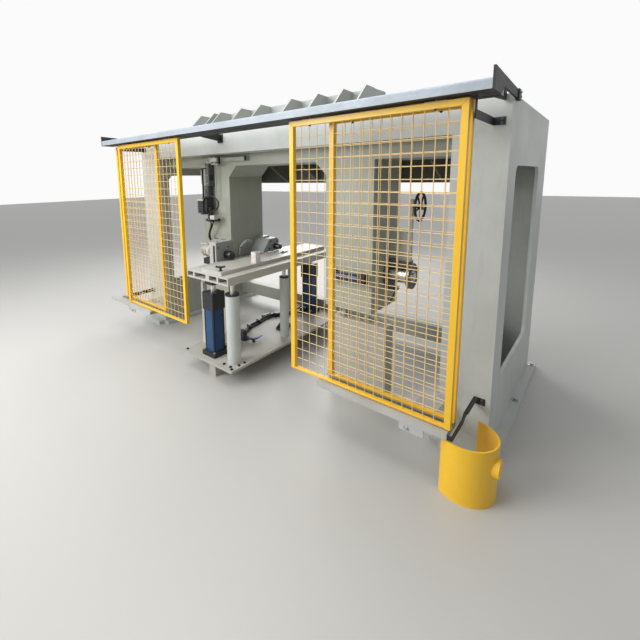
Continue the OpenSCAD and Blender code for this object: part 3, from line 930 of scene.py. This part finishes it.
@dataclass
class GuardDoor(SubAssembly):
    """One sliding door: its tube frame is CAD, its round wires are made here."""

    shop: Workshop
    name: str
    body: Body
    left: float
    width: float
    plane: float
    columns: int
    first_column: float
    rows: int = 23
    column_step: float = 56.0
    row_step: float = 64.5
    foot: float = 352.0
    height: float = 1589.0
    tube: float = 30.0
    foot_bar: float = 12.0
    wire: float = 2.0
    hanger_inset: float = 145.0

    def wires(self) -> None:
        """Replaces the square CAD mesh with round welded wires and their foot bar."""
        low = (self.left + self.tube, self.plane, self.foot + self.foot_bar)
        inner = self.width - 2 * self.tube
        sizes = {
            "Width": inner,
            "Height": self.height - self.tube - self.foot_bar,
            "Column Step": self.column_step,
            "Row Step": self.row_step,
            "First Column": self.first_column,
            "First Row": self.row_step,
            "Wire Radius": self.wire,
        }
        values = {label: size * MM for label, size in sizes.items()}
        values |= {"Columns": self.columns, "Rows": self.rows, "Origin": tuple(at(low))}
        piece = self.shop.bake(self.shop.mesh, self.name + "_wires", None, values, WIRE_PAINT, self.body)
        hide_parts(self.name + "_mesh")
        bar = MeshMaker()
        half = self.tube / 2
        bar.box((low[0], self.plane - half, self.foot), (low[0] + inner, self.plane + half, low[2]), 1.5)
        self.shop.put(self.name + "_foot_bar", bar, YELLOW_PAINT, self.body)

    def hardware(self) -> None:
        """Adds the hanger plates, their nuts above and below, and the seams of the mitred corners."""
        top = self.foot + self.height
        right = self.left + self.width
        spots = (self.left + self.hanger_inset, right - self.hanger_inset)
        plates = MeshMaker()
        for x in spots:
            plates.box((x - 50, self.plane - 13, top), (x + 50, self.plane + 13, top + 4.3), 1.0)
        self.shop.put(self.name + "_hanger_plates", plates, ZINC, self.body)
        above = [(x, self.plane, top + 4) for x in spots]
        below = [(x, self.plane, top - self.tube) for x in spots]
        self.shop.bolts(self.name + "_hanger_nuts", 5.0, {Axis.Z: above}, body=self.body)
        self.shop.bolts(self.name + "_lock_nuts", 6.5, {Axis.DOWN: below}, BLACK_PAINT, self.body)
        seams = MeshMaker()
        mitre = ((0, 0), (1.6, 0), (self.tube, self.tube - 1.6), (self.tube, self.tube))
        face = self.plane - self.tube / 2 - 0.3
        for edge, side in ((self.left, 1), (right, -1)):
            seams.slab([(edge + side * across, face, top - down) for across, down in mitre], (0, 0.5, 0))
        self.shop.put(self.name + "_seams", seams, DARK_PAINT, self.body)

    def build(self) -> None:
        """Dresses the door."""
        self.shop.dress(self.name + "_door", YELLOW_PAINT)
        self.wires()
        self.hardware()


@dataclass
class DoorGear(SubAssembly):
    """The overhead track, its end plates, the flat bar brackets, the guide rails and the corner guard."""

    finishes = {
        "door_track": ZINC,
        "guide_rails": RAIL,
        "corner_guard": YELLOW_PAINT,
    }
    shop: Workshop
    strap_x: Pair = (1667.0, -1727.0)
    strap_t: float = 5.0
    strap_w: float = 39.0
    track_z: float = 1953.0
    track_y: Pair = (-435.0, -223.0)
    upper_z: Pair = (1853.0, 1905.0)
    lower_z: float = 330.0
    rail_slot: tuple[float, float, float] = (1442.0, -397.0, 282.0)

    def end_plates(self) -> None:
        """Replaces the plates that close and carry the track, and the hanger in its middle."""
        front, back = self.track_y
        z = self.track_z
        maker = MeshMaker()
        outer = ((front, z - 4), (-310, z - 4), (-262, z + 32), (100, z + 26), (100, z + 66), (front, z + 90))
        inner = ((back, z), (0, z + 17), (0, z + 58), (back, z + 66))
        for side in SIDES:
            maker.plate(side * 1750.0, outer, side * 10.0)
            maker.plate(side * 1710.0, inner, side * 10.0)
            maker.box((side * 1755.0 - 5, 40, z + 20), (side * 1755.0 + 5 + 6 * side, 100, z + 72), 1.0)
        maker.plate(-435.0, ((back, z), (0, z - 30), (0, z + 30), (back, z + 46)), 8.0)
        maker.box((-470, -6, z - 40), (-400, -0.05, z + 34), 1.0)
        plates = self.shop.put("track_end_plates", maker, BLACK_PAINT)
        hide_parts("track_ends")

    def strap_bars(self) -> None:
        """Replaces the bent flat bars that run from the columns to the track and the guide rails."""
        right, left = self.strap_x
        low, high = self.upper_z
        foot, thick, wide, top = self.lower_z, self.strap_t, self.strap_w, self.track_z
        rail = self.track_y[1] - 32
        maker = MeshMaker()
        for x, reach, heights in ((right, 57.0, (low, foot)), (left, 56.0, (high, foot))):
            for z in heights:
                maker.box((x, -thick, z), (x + reach, -0.05, z + wide), 0.8)
        arm = ((0, low), (0, low + wide), (-322, low + 41), (-322, top), (-340, top), (-340, low + 2))
        level = ((0, high), (0, high + wide), (-232, high + wide), (-232, top), (-255, top), (-255, high))
        slope = ((0, foot), (0, foot + wide), (-205, foot + wide), (-230, foot + 16), (-400, foot + 15))
        end = ((-400, foot - 16), (-200, foot - 16), (-185, foot))
        hook = ((0, foot), (0, foot + wide), (rail, foot + wide), (rail, foot - 16), (-200, foot - 16))
        for x, outline in ((right, arm), (left, level), (right, (*slope, *end)), (left, (*hook, (-200, foot)))):
            maker.plate(x, outline, thick)
        lip = ((right, -5), (right, -200), (right + 22, -200), (right + 22, -5))
        maker.slab([(x, y, foot + 36) for x, y in lip], (0, 0, 3))
        maker.box((right - 22, -400, foot - 16), (right, -395, foot + 10), 0.8)
        straps = self.shop.put("strap_bars", maker, BLACK_PAINT)
        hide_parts("strap_brackets")

    def track_shade(self) -> None:
        """Adds thin dark sheets of painted shade under the track, beside the slots that the doors hang in."""
        maker = MeshMaker()
        # Each dark sheet is painted shade, not a part of the track.
        for near, far in ((-434, -371), (-353, -295), (-277, -224)):
            maker.box((-1749, near, self.track_z - 1.6), (1749, far, self.track_z + 0.2))
        self.shop.put("track_slot_shade", maker, BLACK_PAINT)

    def bolts(self) -> None:
        """Adds the bolts of the flat bars' feet, the guide rails' angles and the end plates."""
        low, high = self.upper_z
        feet = ((1708.0, low), (1708.0, self.lower_z), (-1686.0, high), (-1686.0, self.lower_z))
        pairs = [(x, -self.strap_t, z + rise) for x, z in feet for rise in (10.0, 29.0)]
        self.shop.bolts("bracket_bolts", 4.6, {Axis.FRONT: pairs}, DARK_PAINT)
        x, y, z = self.rail_slot
        self.shop.bolts("rail_bolts", 8.5, {Axis.FRONT: [(side * x, y, z) for side in SIDES]})
        spots = ((70.0, 1988.0), (70.0, 2010.0))
        ends = {axis: [(x, y, z) for y, z in spots] for axis, x in ((Axis.X, 1766.0), (Axis.LEFT, -1766.0))}
        self.shop.bolts("end_plate_bolts", 6.5, ends)

    def build(self) -> None:
        """Dresses the door gear."""
        self.dress()
        self.end_plates()
        self.strap_bars()
        self.track_shade()
        self.bolts()


@dataclass
class LiftTable(SubAssembly):
    """The lift table: dressed CAD solids with caps, bolts, hoses, a valve, a pedal and clamps."""

    finishes = {
        "table_base": FLOOR_PLATE,
        "table_guides": FRAME_PAINT,
        "lift_barrels": BLUE_PAINT,
        "lift_end_blocks": BLACK_PAINT,
        "table_top": TABLE_PAINT,
        "table_rods": STEEL,
    }
    shop: Workshop
    plate_z: float = 884.0
    screw_z: float = 860.0
    base_z: float = 150.0
    head_z: float = 690.0
    tube_z: float = 708.0
    cap_z: Pair = (755.4, 789.6)
    lifts: tuple[Pair, Pair] = ((-240.0, -305.0), (-220.0, 1000.0))
    tubes: tuple[tuple[float, float, float], ...] = (
        (0.0, -311.0, 56.0),
        (-20.0, 340.0, 42.0),
        (-470.0, 1000.0, 42.0),
    )

    def caps(self) -> None:
        """Adds the clevis covers over the lift rods and the cap rings on the tops of the guide tubes."""
        covers = MeshMaker()
        for x, y in self.lifts:
            covers.box((x - 46, y - 46, self.cap_z[0]), (x + 46, y + 46, self.cap_z[1]), 1.5)
        self.shop.put("rod_caps", covers, BLACK_PAINT, Body.TABLE)
        rings = MeshMaker()
        for x, y, radius in self.tubes:
            near, far = radius + 0.1, radius + 1.4
            outside = ((0, near), (0, far), (12, far), (13.5, radius - 1))
            inside = ((13.5, 19), (8.2, 19), (8.2, near), (0, near))
            rings.turned((x, y, self.tube_z), Axis.Z, (*outside, *inside), capped=False)
        self.shop.put("tube_caps", rings, KNOB)

    def bolts(self) -> None:
        """Adds the tie rods' nuts, the flanges' bolts and those of the base plate and the guide tubes."""
        z = self.base_z
        square = [(x, y, a, b) for x, y in self.lifts for a in SIDES for b in SIDES]
        heads = [(x + a * 57, y + b * 57, self.head_z) for x, y, a, b in square]
        flanges = [(x + a * 67, y + b * 67, z + 40) for x, y, a, b in square]
        self.shop.bolts("lift_head_nuts", 6.0, {Axis.Z: heads}, BLACK_PAINT)
        self.shop.bolts("lift_flange_bolts", 7.5, {Axis.Z: flanges})
        plate = [(x, y, z) for x in (-490, 75) for y in (-410, 1125)]
        plate += [(x, y, z) for x, y in ((38, -388), (-38, -388), (72, -330), (72, -270))]
        self.shop.bolts("base_plate_bolts", 9.0, {Axis.Z: plate}, BLACK_PAINT)

    def clamps(self) -> None:
        """Adds the wing knob, the flat clamp and the clear block on the table, and its sunk screws."""
        z = self.plate_z
        knob = MeshMaker()
        x, y = -118, -321
        boss = ((0, 15), (5, 15), (8, 10), (26, 10), (28, 13), (36, 11), (40, 5))
        knob.turned((x, y, z), Axis.Z, boss, 20)
        for side in SIDES:
            knob.rod((x, y, z + 29), (x + side * 29, y + side * 25, z + 37), 8.5, 14)
        self.shop.put("wing_knob", knob, KNOB, Body.TABLE)
        clamp = MeshMaker()
        clamp.box((-212, 520, z), (-188, 600, z + 11), 3.0)
        clamp.turned((-200, 540, z + 11), Axis.Z, ((0, 8), (4, 8), (6, 5)), 6)
        self.shop.put("toggle_clamp", clamp, KNOB, Body.TABLE)
        block = MeshMaker()
        block.box((-136, 38, z), (-78, 100, z + 95), 2.0)
        self.shop.put("clear_block", block, CLEAR, Body.TABLE)
        screws = [(x, y, self.screw_z) for y in (-250, 10, 270, 530, 790) for x in (-290, -120)]
        self.shop.bolts("plate_screws", 4.2, {Axis.Z: screws}, KNOB, Body.TABLE)

    def pedal(self) -> None:
        """Adds the foot pedal on the table's base plate."""
        maker = MeshMaker()
        z = self.base_z
        side = ((395, z), (525, z), (525, z + 38), (500, z + 52), (450, z + 50), (400, z + 16))
        maker.plate(-180, side, 78)
        maker.rod((-190, 470, z + 30), (-92, 470, z + 30), 9, 16)
        self.shop.put("foot_pedal", maker, KNOB)

    def hoses(self) -> None:
        """Replaces the faceted CAD hoses with three round ones along routes of their own."""
        low = self.base_z + 11
        line = ((-404, 238, low), (-430, 400, low), (-452, 547, low), (-425, 650, low), (-365, 790, low))
        beside = [(x + 28, y, z) for x, y, z in line]
        above = [(x + 14, y, z + 17) for x, y, z in line[:4]]
        first = [(-240, -225, 210), (-250, -180, 175), (-322, 60, low), *line]
        first += [(-318, 930, 185), (-300, 990, 215)]
        second = [(-205, -225, 210), (-215, -180, 175), (-292, 60, low), *beside]
        second += [(-262, 880, 185), (-250, 920, 215)]
        third = [(-268, 62, 185), (-310, 120, low + 17), *above]
        third += [(-312, 790, low + 8), (-232, 875, 185), (-222, 920, 215)]
        hoses = self.shop.hoses("table_hose_set", (first, second, third), 9.0)
        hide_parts("table_hoses")

    def hose_clips(self) -> None:
        """Adds the clips that hold the hoses down, the block beside them and the fittings at their ends."""
        z = self.base_z
        clips = MeshMaker()
        spots = ((-307, 60, 24), (-390, 238, 42), (-416, 400, 42), (-411, 650, 42), (-351, 785, 26))
        for x, y, height in spots:
            clips.box((x - 27, y - 7, z), (x + 27, y + 7, z + height), 3.0)
        clips.box((-490, 520, z), (-464, 640, z + 34), 4.0)
        self.shop.put("hose_clips", clips, KNOB)
        ends = MeshMaker()
        for x in (-240, -205):
            ends.turned((x, -225, 196), Axis.Z, ((0, 11), (3, 12.5), (20, 12.5), (24, 10)), 6)
            ends.rod((x, -249, 210), (x, -225, 210), 8, 14)
        for x, y, far in ((-300, 990, (-276, 990)), (-250, 920, (-250, 944)), (-222, 920, (-222, 944))):
            ends.turned((x, y, 206), Axis.Z, ((0, 10), (4, 12.5), (20, 12.5), (23, 11)), 6)
            ends.rod((x, y, 220), (*far, 220), 8, 14)
        self.shop.put("hose_ends", ends, BOLT_STEEL)

    def valve(self) -> None:
        """Adds the dark valve box, the link beside it and the blue tap handle."""
        z = self.base_z
        body = MeshMaker()
        body.box((-275, 5, z), (-225, 50, z + 96), 4.0)
        body.box((-284, 20, z), (-216, 66, z + 38), 4.0)
        body.rod((-226, 40, z + 24), (-141, 51, z + 24), 9, 16)
        body.turned((-216, 44, z + 22), Axis.X, ((0, 15), (3, 17), (14, 17), (17, 13), (26, 13)), 6)
        body.turned((-141, 51, z), Axis.Z, ((0, 14), (26, 14), (28, 9), (33, 9)), 20)
        self.shop.put("valve_body", body, MOTOR_PAINT)
        handle = MeshMaker()
        outline = ((-158, 40), (-138, 36), (-112, 72), (-128, 150), (-147, 146), (-134, 78))
        handle.slab([(x, y, z + 31) for x, y in outline], (0, 0, 9))
        self.shop.put("tap_handle", handle, TAP)

    def build(self) -> None:
        """Builds all of the table's pieces."""
        self.dress()
        self.caps()
        self.bolts()
        self.clamps()
        self.pedal()
        self.hoses()
        self.hose_clips()
        self.valve()


@dataclass
class WorkHeads(SubAssembly):
    """The two heads at the left column and the vertical drive above them."""

    finishes = {"head_block": LIGHT_PAINT, "side_head": HEAD_PAINT}
    shop: Workshop
    head_face: float = -507.0
    column_face: float = -540.0
    side_plate: float = -340.0
    chuck_y: float = 20.0
    chuck_z: float = 938.0
    disc_y: float = 375.0
    disc_z: float = 885.0
    fin_count: int = 11
    fin_step: float = 10.0

    def grips(self) -> None:
        """Adds the black grips on the two heads' shafts, the chuck's turned shell and its three jaws."""
        maker = MeshMaker()
        grip = ((1.5, 34.6), (3, 38), (78, 38), (85, 35), (88, 28), (88, 0))
        side = ((0, 23), (2, 27), (70, 27), (76, 24), (78, 18), (78, 0))
        maker.turned((self.head_face, 82, 905), Axis.X, grip)
        maker.turned((self.side_plate, 580, 930), Axis.X, side)
        self.shop.put("head_knobs", maker, KNOB)
        shell = MeshMaker()
        rear = ((0, 34.6), (0, 58), (5, 62.6), (40, 62.6))
        groove = ((43, 60), (48, 60), (51, 62.6), (74, 62.6))
        shell.turned((-726, self.chuck_y, self.chuck_z), Axis.X, (*rear, *groove), 56)
        nose = ((0, 0), (0, 28), (3, 34.6), (21, 34.6))
        shell.turned((-746, self.chuck_y, self.chuck_z), Axis.X, nose)
        self.shop.put("chuck_shell", shell, TURNED)
        jaws = MeshMaker()
        middle = (-734, self.chuck_y, self.chuck_z)
        for inner, outer in zip(round_x(middle, 36, 3, 90), round_x(middle, 56, 3, 90)):
            jaws.rod(inner, outer, 9, 4)
        self.shop.put("chuck_jaws", jaws, STEEL)

    def screws(self) -> None:
        """Adds the screws on the heads' top plates, faces and disc."""
        top = [(x, y, 1030.0) for x, y in ((-590, 0), (-530, 0), (-590, 158), (-530, 158), (-740, 158))]
        self.shop.bolts("head_top_screws", 6.0, {Axis.Z: top})
        ring = round_x((self.column_face + 18, self.disc_y, self.disc_z), 105, 6, 30)
        # The disc's farther screws lie under the side head.
        shown = [point for point in ring if point[1] < 400]
        shown += [(self.side_plate, y, z) for y, z in ((500, 915), (620, 910), (520, 985), (615, 975))]
        self.shop.bolts("side_head_screws", 6.0, {Axis.X: shown}, BLACK_PAINT)

    def plates(self) -> None:
        """Adds painted shade in the two slots, the seam, the bracket, painted shade on the head's side face and
        in its holes.
        """
        dark = MeshMaker()
        # Painted shade: the dark boxes fill the two slots to stand for the shade inside them.
        for x in (-725, -630):
            dark.box((x + 0.6, 118.6, 1012.2), (x + 59.4, 139.4, 1030.5))
        dark.box((-548, -40.8, 812), (-522, -39.8, 1000))
        dark.box((-700, -36, 812), (-606, 58, 868), 4.0)
        self.shop.put("head_dark_parts", dark, BLACK_PAINT)
        face = MeshMaker()
        # Painted shade: a thin darker sheet over the head's side face stands for the shade on that side.
        face.box((self.head_face - 0.2, -36, 804), (self.head_face + 1.2, 176, 1026))
        self.shop.put("head_side_face_shade", face, HEAD_PAINT)
        holes = MeshMaker()
        # Painted shade: black discs stand for the shade inside the face's holes.
        for y, z in ((-17, 980), (106, 974), (-17, 815)):
            holes.turned((self.head_face + 1, y, z), Axis.X, ((0, 8), (0.7, 8)), 24)
        self.shop.put("head_hole_shade_discs", holes, KNOB)

    def bar_end(self) -> None:
        """Carries the bar over the drive on to its black end bracket, and rings the side head's disc with a
        painted highlight.
        """
        bar = MeshMaker()
        bar.box((-481, 150.2, 1761), (-272, 179.8, 1799), 1.0)
        self.shop.put("cross_bar_end", bar, COLUMN_PAINT)
        bracket = MeshMaker()
        bracket.box((-292, 138, 1762), (-272, 150.4, 1803), 1.0)
        bracket.box((-600, 146, 1799), (-272, 152, 1802), 0.5)
        self.shop.put("bar_bracket", bracket, BLACK_PAINT)
        # Painted highlight: the bright steel ring stands for the light caught on the disc's rim.
        ring = MeshMaker()
        rim = ((0, 117), (0, 119.4), (8.6, 119.4), (9.6, 113), (9.6, 106))
        ring.turned((self.column_face + 10, self.disc_y, self.disc_z), Axis.X, rim)
        self.shop.put("side_disc_rim_highlight", ring, STEEL)

    def drive(self) -> None:
        """Replaces the faceted drive with a slide, its boxes, a post, brackets and the motor."""
        grey_parts = MeshMaker()
        grey_parts.box((-805, 110, 1538), (-755, 180, 1750), 2.0)
        grey_parts.box((-842, 150, 1220), (-792, 180, 1560), 2.0)
        grey_parts.box((-840, 80, 1412), (-765, 150, 1424), 1.0)
        slide = self.shop.put("drive_slide", grey_parts, DARK_PAINT)
        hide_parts("vertical_drive")
        boxes = MeshMaker()
        boxes.box((-824, 108, 1424), (-765, 152, 1540), 3.0)
        boxes.box((-880, 62, 1276), (-800, 152, 1396), 4.0)
        boxes.turned((-840, 106, 1262), Axis.Z, ((0, 30), (3, 36), (14, 36)), 32)
        self.shop.put("drive_boxes", boxes, MOTOR_PAINT)
        dark = MeshMaker()
        dark.box((-796, 72, 1286), (-752, 151, 1424), 3.0)
        dark.box((-752, 88, 1300), (-724, 130, 1338), 2.0)
        dark.box((-800, 85, 1200), (-690, 180, 1222), 1.5)
        dark.box((-864, 112, 1412), (-854, 128, 1700), 1.5)
        dark.box((-864, 104, 1700), (-790, 140, 1710), 1.5)
        dark.box((-604, 104, 1738), (-592, 121, 1802), 1.5)
        dark.box((-748, 104, 1590), (-738, 150, 1640), 1.5)
        self.shop.put("drive_brackets", dark, BLACK_PAINT)
        pale = MeshMaker()
        pale.box((-886, 58, 1396), (-796, 152, 1412), 2.0)
        pale.box((-715, 104, 1762), (-625, 121, 1798), 2.0)
        pale.box((-705, 104, 1737), (-620, 151, 1747), 1.5)
        pale.turned((-780, 130, 1750), Axis.Z, ((0, 12), (26, 12), (30, 9), (34, 4)), 20)
        pale.rod((-856, 104, 1560), (-856, 104, 1690), 5, 12)
        pale.box((-706, 62, 1222), (-640, 112, 1262), 6.0)
        self.shop.put("drive_fittings", pale, LIGHT_PAINT)

    def motor(self) -> None:
        """Adds the cooling fins round the drive's motor, and the screws of the brackets."""
        fins = {
            "Count": self.fin_count,
            "First": tuple(at((-840, 107, 1288))),
            "Step": (0.0, 0.0, self.fin_step * MM),
            "Slat": (86 * MM, 93 * MM, 3 * MM),
        }
        self.shop.bake(self.shop.slats, "motor_fins", None, fins, BLACK_PAINT)
        screws = [(x, 85.0, 1211.0) for x in (-785, -748)]
        screws += [(-780, 110.0, z) for z in (1560.0, 1640.0, 1720.0)]
        screws += [(-795, 108.0, z) for z in (1445.0, 1520.0)]
        self.shop.bolts("drive_bolts", 6.0, {Axis.FRONT: screws})

    def cable(self) -> None:
        """Replaces the faceted CAD cable with two round ones, their glands and a clip."""
        loop = [(-800, 70, 1385), (-768, 62, 1425), (-700, 58, 1446), (-610, 56, 1432), (-563, 58, 1385)]
        loop += [(-585, 62, 1335), (-650, 66, 1308), (-706, 70, 1290), (-724, 74, 1240), (-716, 84, 1190)]
        loop += [(-735, 98, 1150), (-776, 112, 1100), (-812, 130, 1040), (-812, 150, 1000)]
        loop += [(-790, 158, 978), (-757, 156, 970)]
        short = [(-690, 92, 1232), (-700, 100, 1193), (-745, 110, 1130), (-790, 124, 1070)]
        short += [(-798, 146, 1000), (-780, 158, 945), (-755, 154, 932)]
        cable = self.shop.hoses("drive_cable_set", (loop, short), 7.0)
        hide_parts("drive_cable")
        glands = MeshMaker()
        for end in (loop[-1], short[-1]):
            glands.turned(end, Axis.LEFT, ((-6, 10), (4, 10), (5, 12), (12, 12), (16, 8.5)), 6)
        glands.box((-810, 56, 1372), (-792, 76, 1396.5), 2.0)
        glands.box((-734, 60, 1200), (-690, 86, 1216), 2.0)
        self.shop.put("cable_glands", glands, KNOB)

    def build(self) -> None:
        """Builds the heads' pieces."""
        self.dress()
        self.grips()
        self.screws()
        self.plates()
        self.bar_end()
        self.drive()
        self.motor()
        self.cable()


@dataclass
class RightBay(SubAssembly):
    """The handwheel, the drum and the cylinder behind the right doors."""

    finishes = {
        "wheel_post": LIGHT_PAINT,
        "handwheel": BLACK_PAINT,
        "drum_seat": DARK_PAINT,
        "drum_cover": LIGHT_PAINT,
        "side_cylinder": BLUE_PAINT,
        "drum": TURNED,
    }
    shop: Workshop
    drum_y: float = 465.0
    drum_z: float = 876.0
    disc_x: float = 1092.0
    seat_x: float = 950.0
    wheel_z: float = 1390.0

    def drum_rim(self) -> None:
        """Adds the darker rim on the drum's disc with its ring of screws, and the seat's screws."""
        maker = MeshMaker()
        outside = ((0, 60.6), (0, 96), (2.5, 98.8), (18.5, 98.8))
        rim = (*outside, (21.2, 96), (21.2, 46), (0.3, 46))
        maker.turned((self.disc_x - 0.6, self.drum_y, self.drum_z), Axis.X, rim, 64)
        self.shop.put("drum_disc", maker, DARK_PAINT, Body.DRUM)
        ring = round_x((self.disc_x + 20.6, self.drum_y, self.drum_z), 78, 6, 0)
        self.shop.bolts("drum_screws", 5.5, {Axis.X: ring}, body=Body.DRUM)
        seat = round_x((self.seat_x, self.drum_y, self.drum_z), 100, 8, 22.5)
        # The arm over the seat hides its upper screws.
        shown = [point for point in seat if point[2] < 940]
        self.shop.bolts("seat_screws", 6.0, {Axis.X: shown})

    def cylinder_ends(self) -> None:
        """Adds the dark end caps on the side cylinder, with their tie rods."""
        maker = MeshMaker()
        maker.box((614.4, 111.4, 847.4), (650.6, 180, 922.6), 2.0)
        maker.box((849.4, 111.4, 849.4), (905.6, 180, 920.6), 2.0)
        for z in (858, 911):
            maker.rod((645, 121, z), (855, 121, z), 4.5, 12)
        self.shop.put("cylinder_ends", maker, BLACK_PAINT)

    def wheel_hub(self) -> None:
        """Adds the nut at the middle of the handwheel."""
        maker = MeshMaker()
        nut = ((0, 15), (3, 15), (4, 12), (10, 12), (12, 9))
        maker.turned((1161, self.drum_y, self.wheel_z), Axis.X, nut, 6)
        self.shop.put("wheel_nut", maker, BOLT_STEEL, Body.WHEEL)

    def build(self) -> None:
        """Builds the bay's pieces."""
        self.dress()
        self.drum_rim()
        self.cylinder_ends()
        self.wheel_hub()


@dataclass(frozen=True)
class Studio:
    """The plain floor, the soft lamps and the camera at the photograph's viewpoint."""

    eye: tuple[float, float, float] = (2147.1, -2219.0, 1611.6)
    yaw: float = 0.725679
    pitch: float = 0.152635
    roll: float = -0.016273
    focal_px: float = 378.49
    middle_px: Pair = (274.88, 235.47)
    frame_px: float = 640.0
    floor_reach: float = 30.0

    def camera(self) -> None:
        """Makes the camera."""
        data = bpy.data.cameras.new("view_camera")
        data.sensor_width = 36.0
        data.lens = self.focal_px * data.sensor_width / self.frame_px
        data.shift_x = (self.frame_px / 2 - self.middle_px[0]) / self.frame_px
        data.shift_y = (self.middle_px[1] - self.frame_px / 2) / self.frame_px
        data.clip_start = 0.05
        data.clip_end = 200.0
        level = Vector((math.cos(self.yaw), math.sin(self.yaw), 0.0))
        flat = math.cos(self.pitch)
        ahead = Vector((-math.sin(self.yaw) * flat, math.cos(self.yaw) * flat, -math.sin(self.pitch)))
        above = level.cross(ahead)
        right = level * math.cos(self.roll) + above * math.sin(self.roll)
        up = above * math.cos(self.roll) - level * math.sin(self.roll)
        camera = bpy.data.objects.new("view_camera", data)
        turn = Matrix((right, up, -ahead)).transposed().to_4x4()
        camera.matrix_world = Matrix.Translation(at(self.eye)) @ turn
        bpy.context.scene.collection.objects.link(camera)
        bpy.context.scene.camera = camera

    def lamp(self, name: str, place: Point, target: Point, size: float, power: float) -> None:
        """Adds a soft square lamp.

        Args:
            name: the lamp's name.
            place: its place in millimetres.
            target: the point that it faces, in millimetres.
            size: its side in metres.
            power: its power in watts.
        """
        data = bpy.data.lights.new(name, "AREA")
        data.size = size
        data.energy = power
        lamp = bpy.data.objects.new(name, data)
        lamp.location = at(place)
        lamp.rotation_mode = "QUATERNION"
        lamp.rotation_quaternion = (at(target) - at(place)).to_track_quat("-Z", "Y")
        bpy.context.scene.collection.objects.link(lamp)

    def lamps(self) -> None:
        """Adds the lamps and the pale surroundings, which look brighter than they light."""
        self.lamp("front_softbox", (-1900, -4300, 3300), (0, 200, 900), 3.0, 250.0)
        self.lamp("top_softbox", (-200, -300, 4700), (-200, 500, 0), 4.0, 140.0)
        self.lamp("back_window", (-2600, 3800, 2600), (-200, 400, 900), 3.0, 120.0)
        world = bpy.data.worlds.new("pale_room")
        world.use_nodes = True
        tree = world.node_tree
        tree.nodes.clear()
        rays = add(tree, "ShaderNodeLightPath", {}).outputs
        seen = add(tree, MATH, {0: rays["Is Camera Ray"], 1: rays["Is Glossy Ray"]}, operation="MAXIMUM")
        dim = add(tree, "ShaderNodeBackground", {"Color": linear("#f2f4f6"), "Strength": 0.4})
        white = add(tree, "ShaderNodeBackground", {"Color": linear("#fbfbfb"), "Strength": 1.0})
        mixed = add(tree, "ShaderNodeMixShader", {0: seen, 1: dim, 2: white})
        add(tree, "ShaderNodeOutputWorld", {"Surface": mixed})
        bpy.context.scene.world = world

    def floor(self) -> None:
        """Adds the plain pale floor, which isn't part of the stand."""
        mesh = bpy.data.meshes.new("studio_floor")
        far = self.floor_reach
        square = [(-far, -far, 0), (far, -far, 0), (far, far, 0), (-far, far, 0)]
        mesh.from_pydata(square, [], [(0, 1, 2, 3)])
        material, tree = open_material("studio_floor_paint")
        shader = add(tree, SHADER, {"Base Color": linear("#bcbbb7"), "Roughness": 0.42})
        add(tree, "ShaderNodeOutputMaterial", {"Surface": shader})
        mesh.materials.append(material)
        floor = bpy.data.objects.new("studio_floor", mesh)
        bpy.context.scene.collection.objects.link(floor)

    def build(self) -> None:
        """Builds the studio."""
        self.camera()
        self.lamps()
        self.floor()
        bpy.context.scene.view_settings.view_transform = "Standard"


def main() -> None:
    """Builds the dressed stand in order."""
    logging.basicConfig(level=logging.INFO, format="%(name)s: %(message)s")
    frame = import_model()
    Studio().build()
    shop = Workshop(frame["nodes"])
    PortalFrame(shop).build()
    DoorGear(shop).build()
    GuardDoor(shop, "right_front", Body.RIGHT_FRONT, 642.0, 1010.0, -362.0, 16, 56.0).build()
    GuardDoor(shop, "right_rear", Body.RIGHT_REAR, 882.0, 768.0, -286.0, 13, 13.0).build()
    GuardDoor(shop, "left_front", Body.LEFT_FRONT, -1540.0, 1010.0, -362.0, 16, 56.0).build()
    GuardDoor(shop, "left_rear", Body.LEFT_REAR, -1742.0, 768.0, -286.0, 13, 13.0).build()
    LiftTable(shop).build()
    WorkHeads(shop).build()
    RightBay(shop).build()
    LOG.info("%d pieces added", shop.count)


if __name__ == "__main__":
    main()
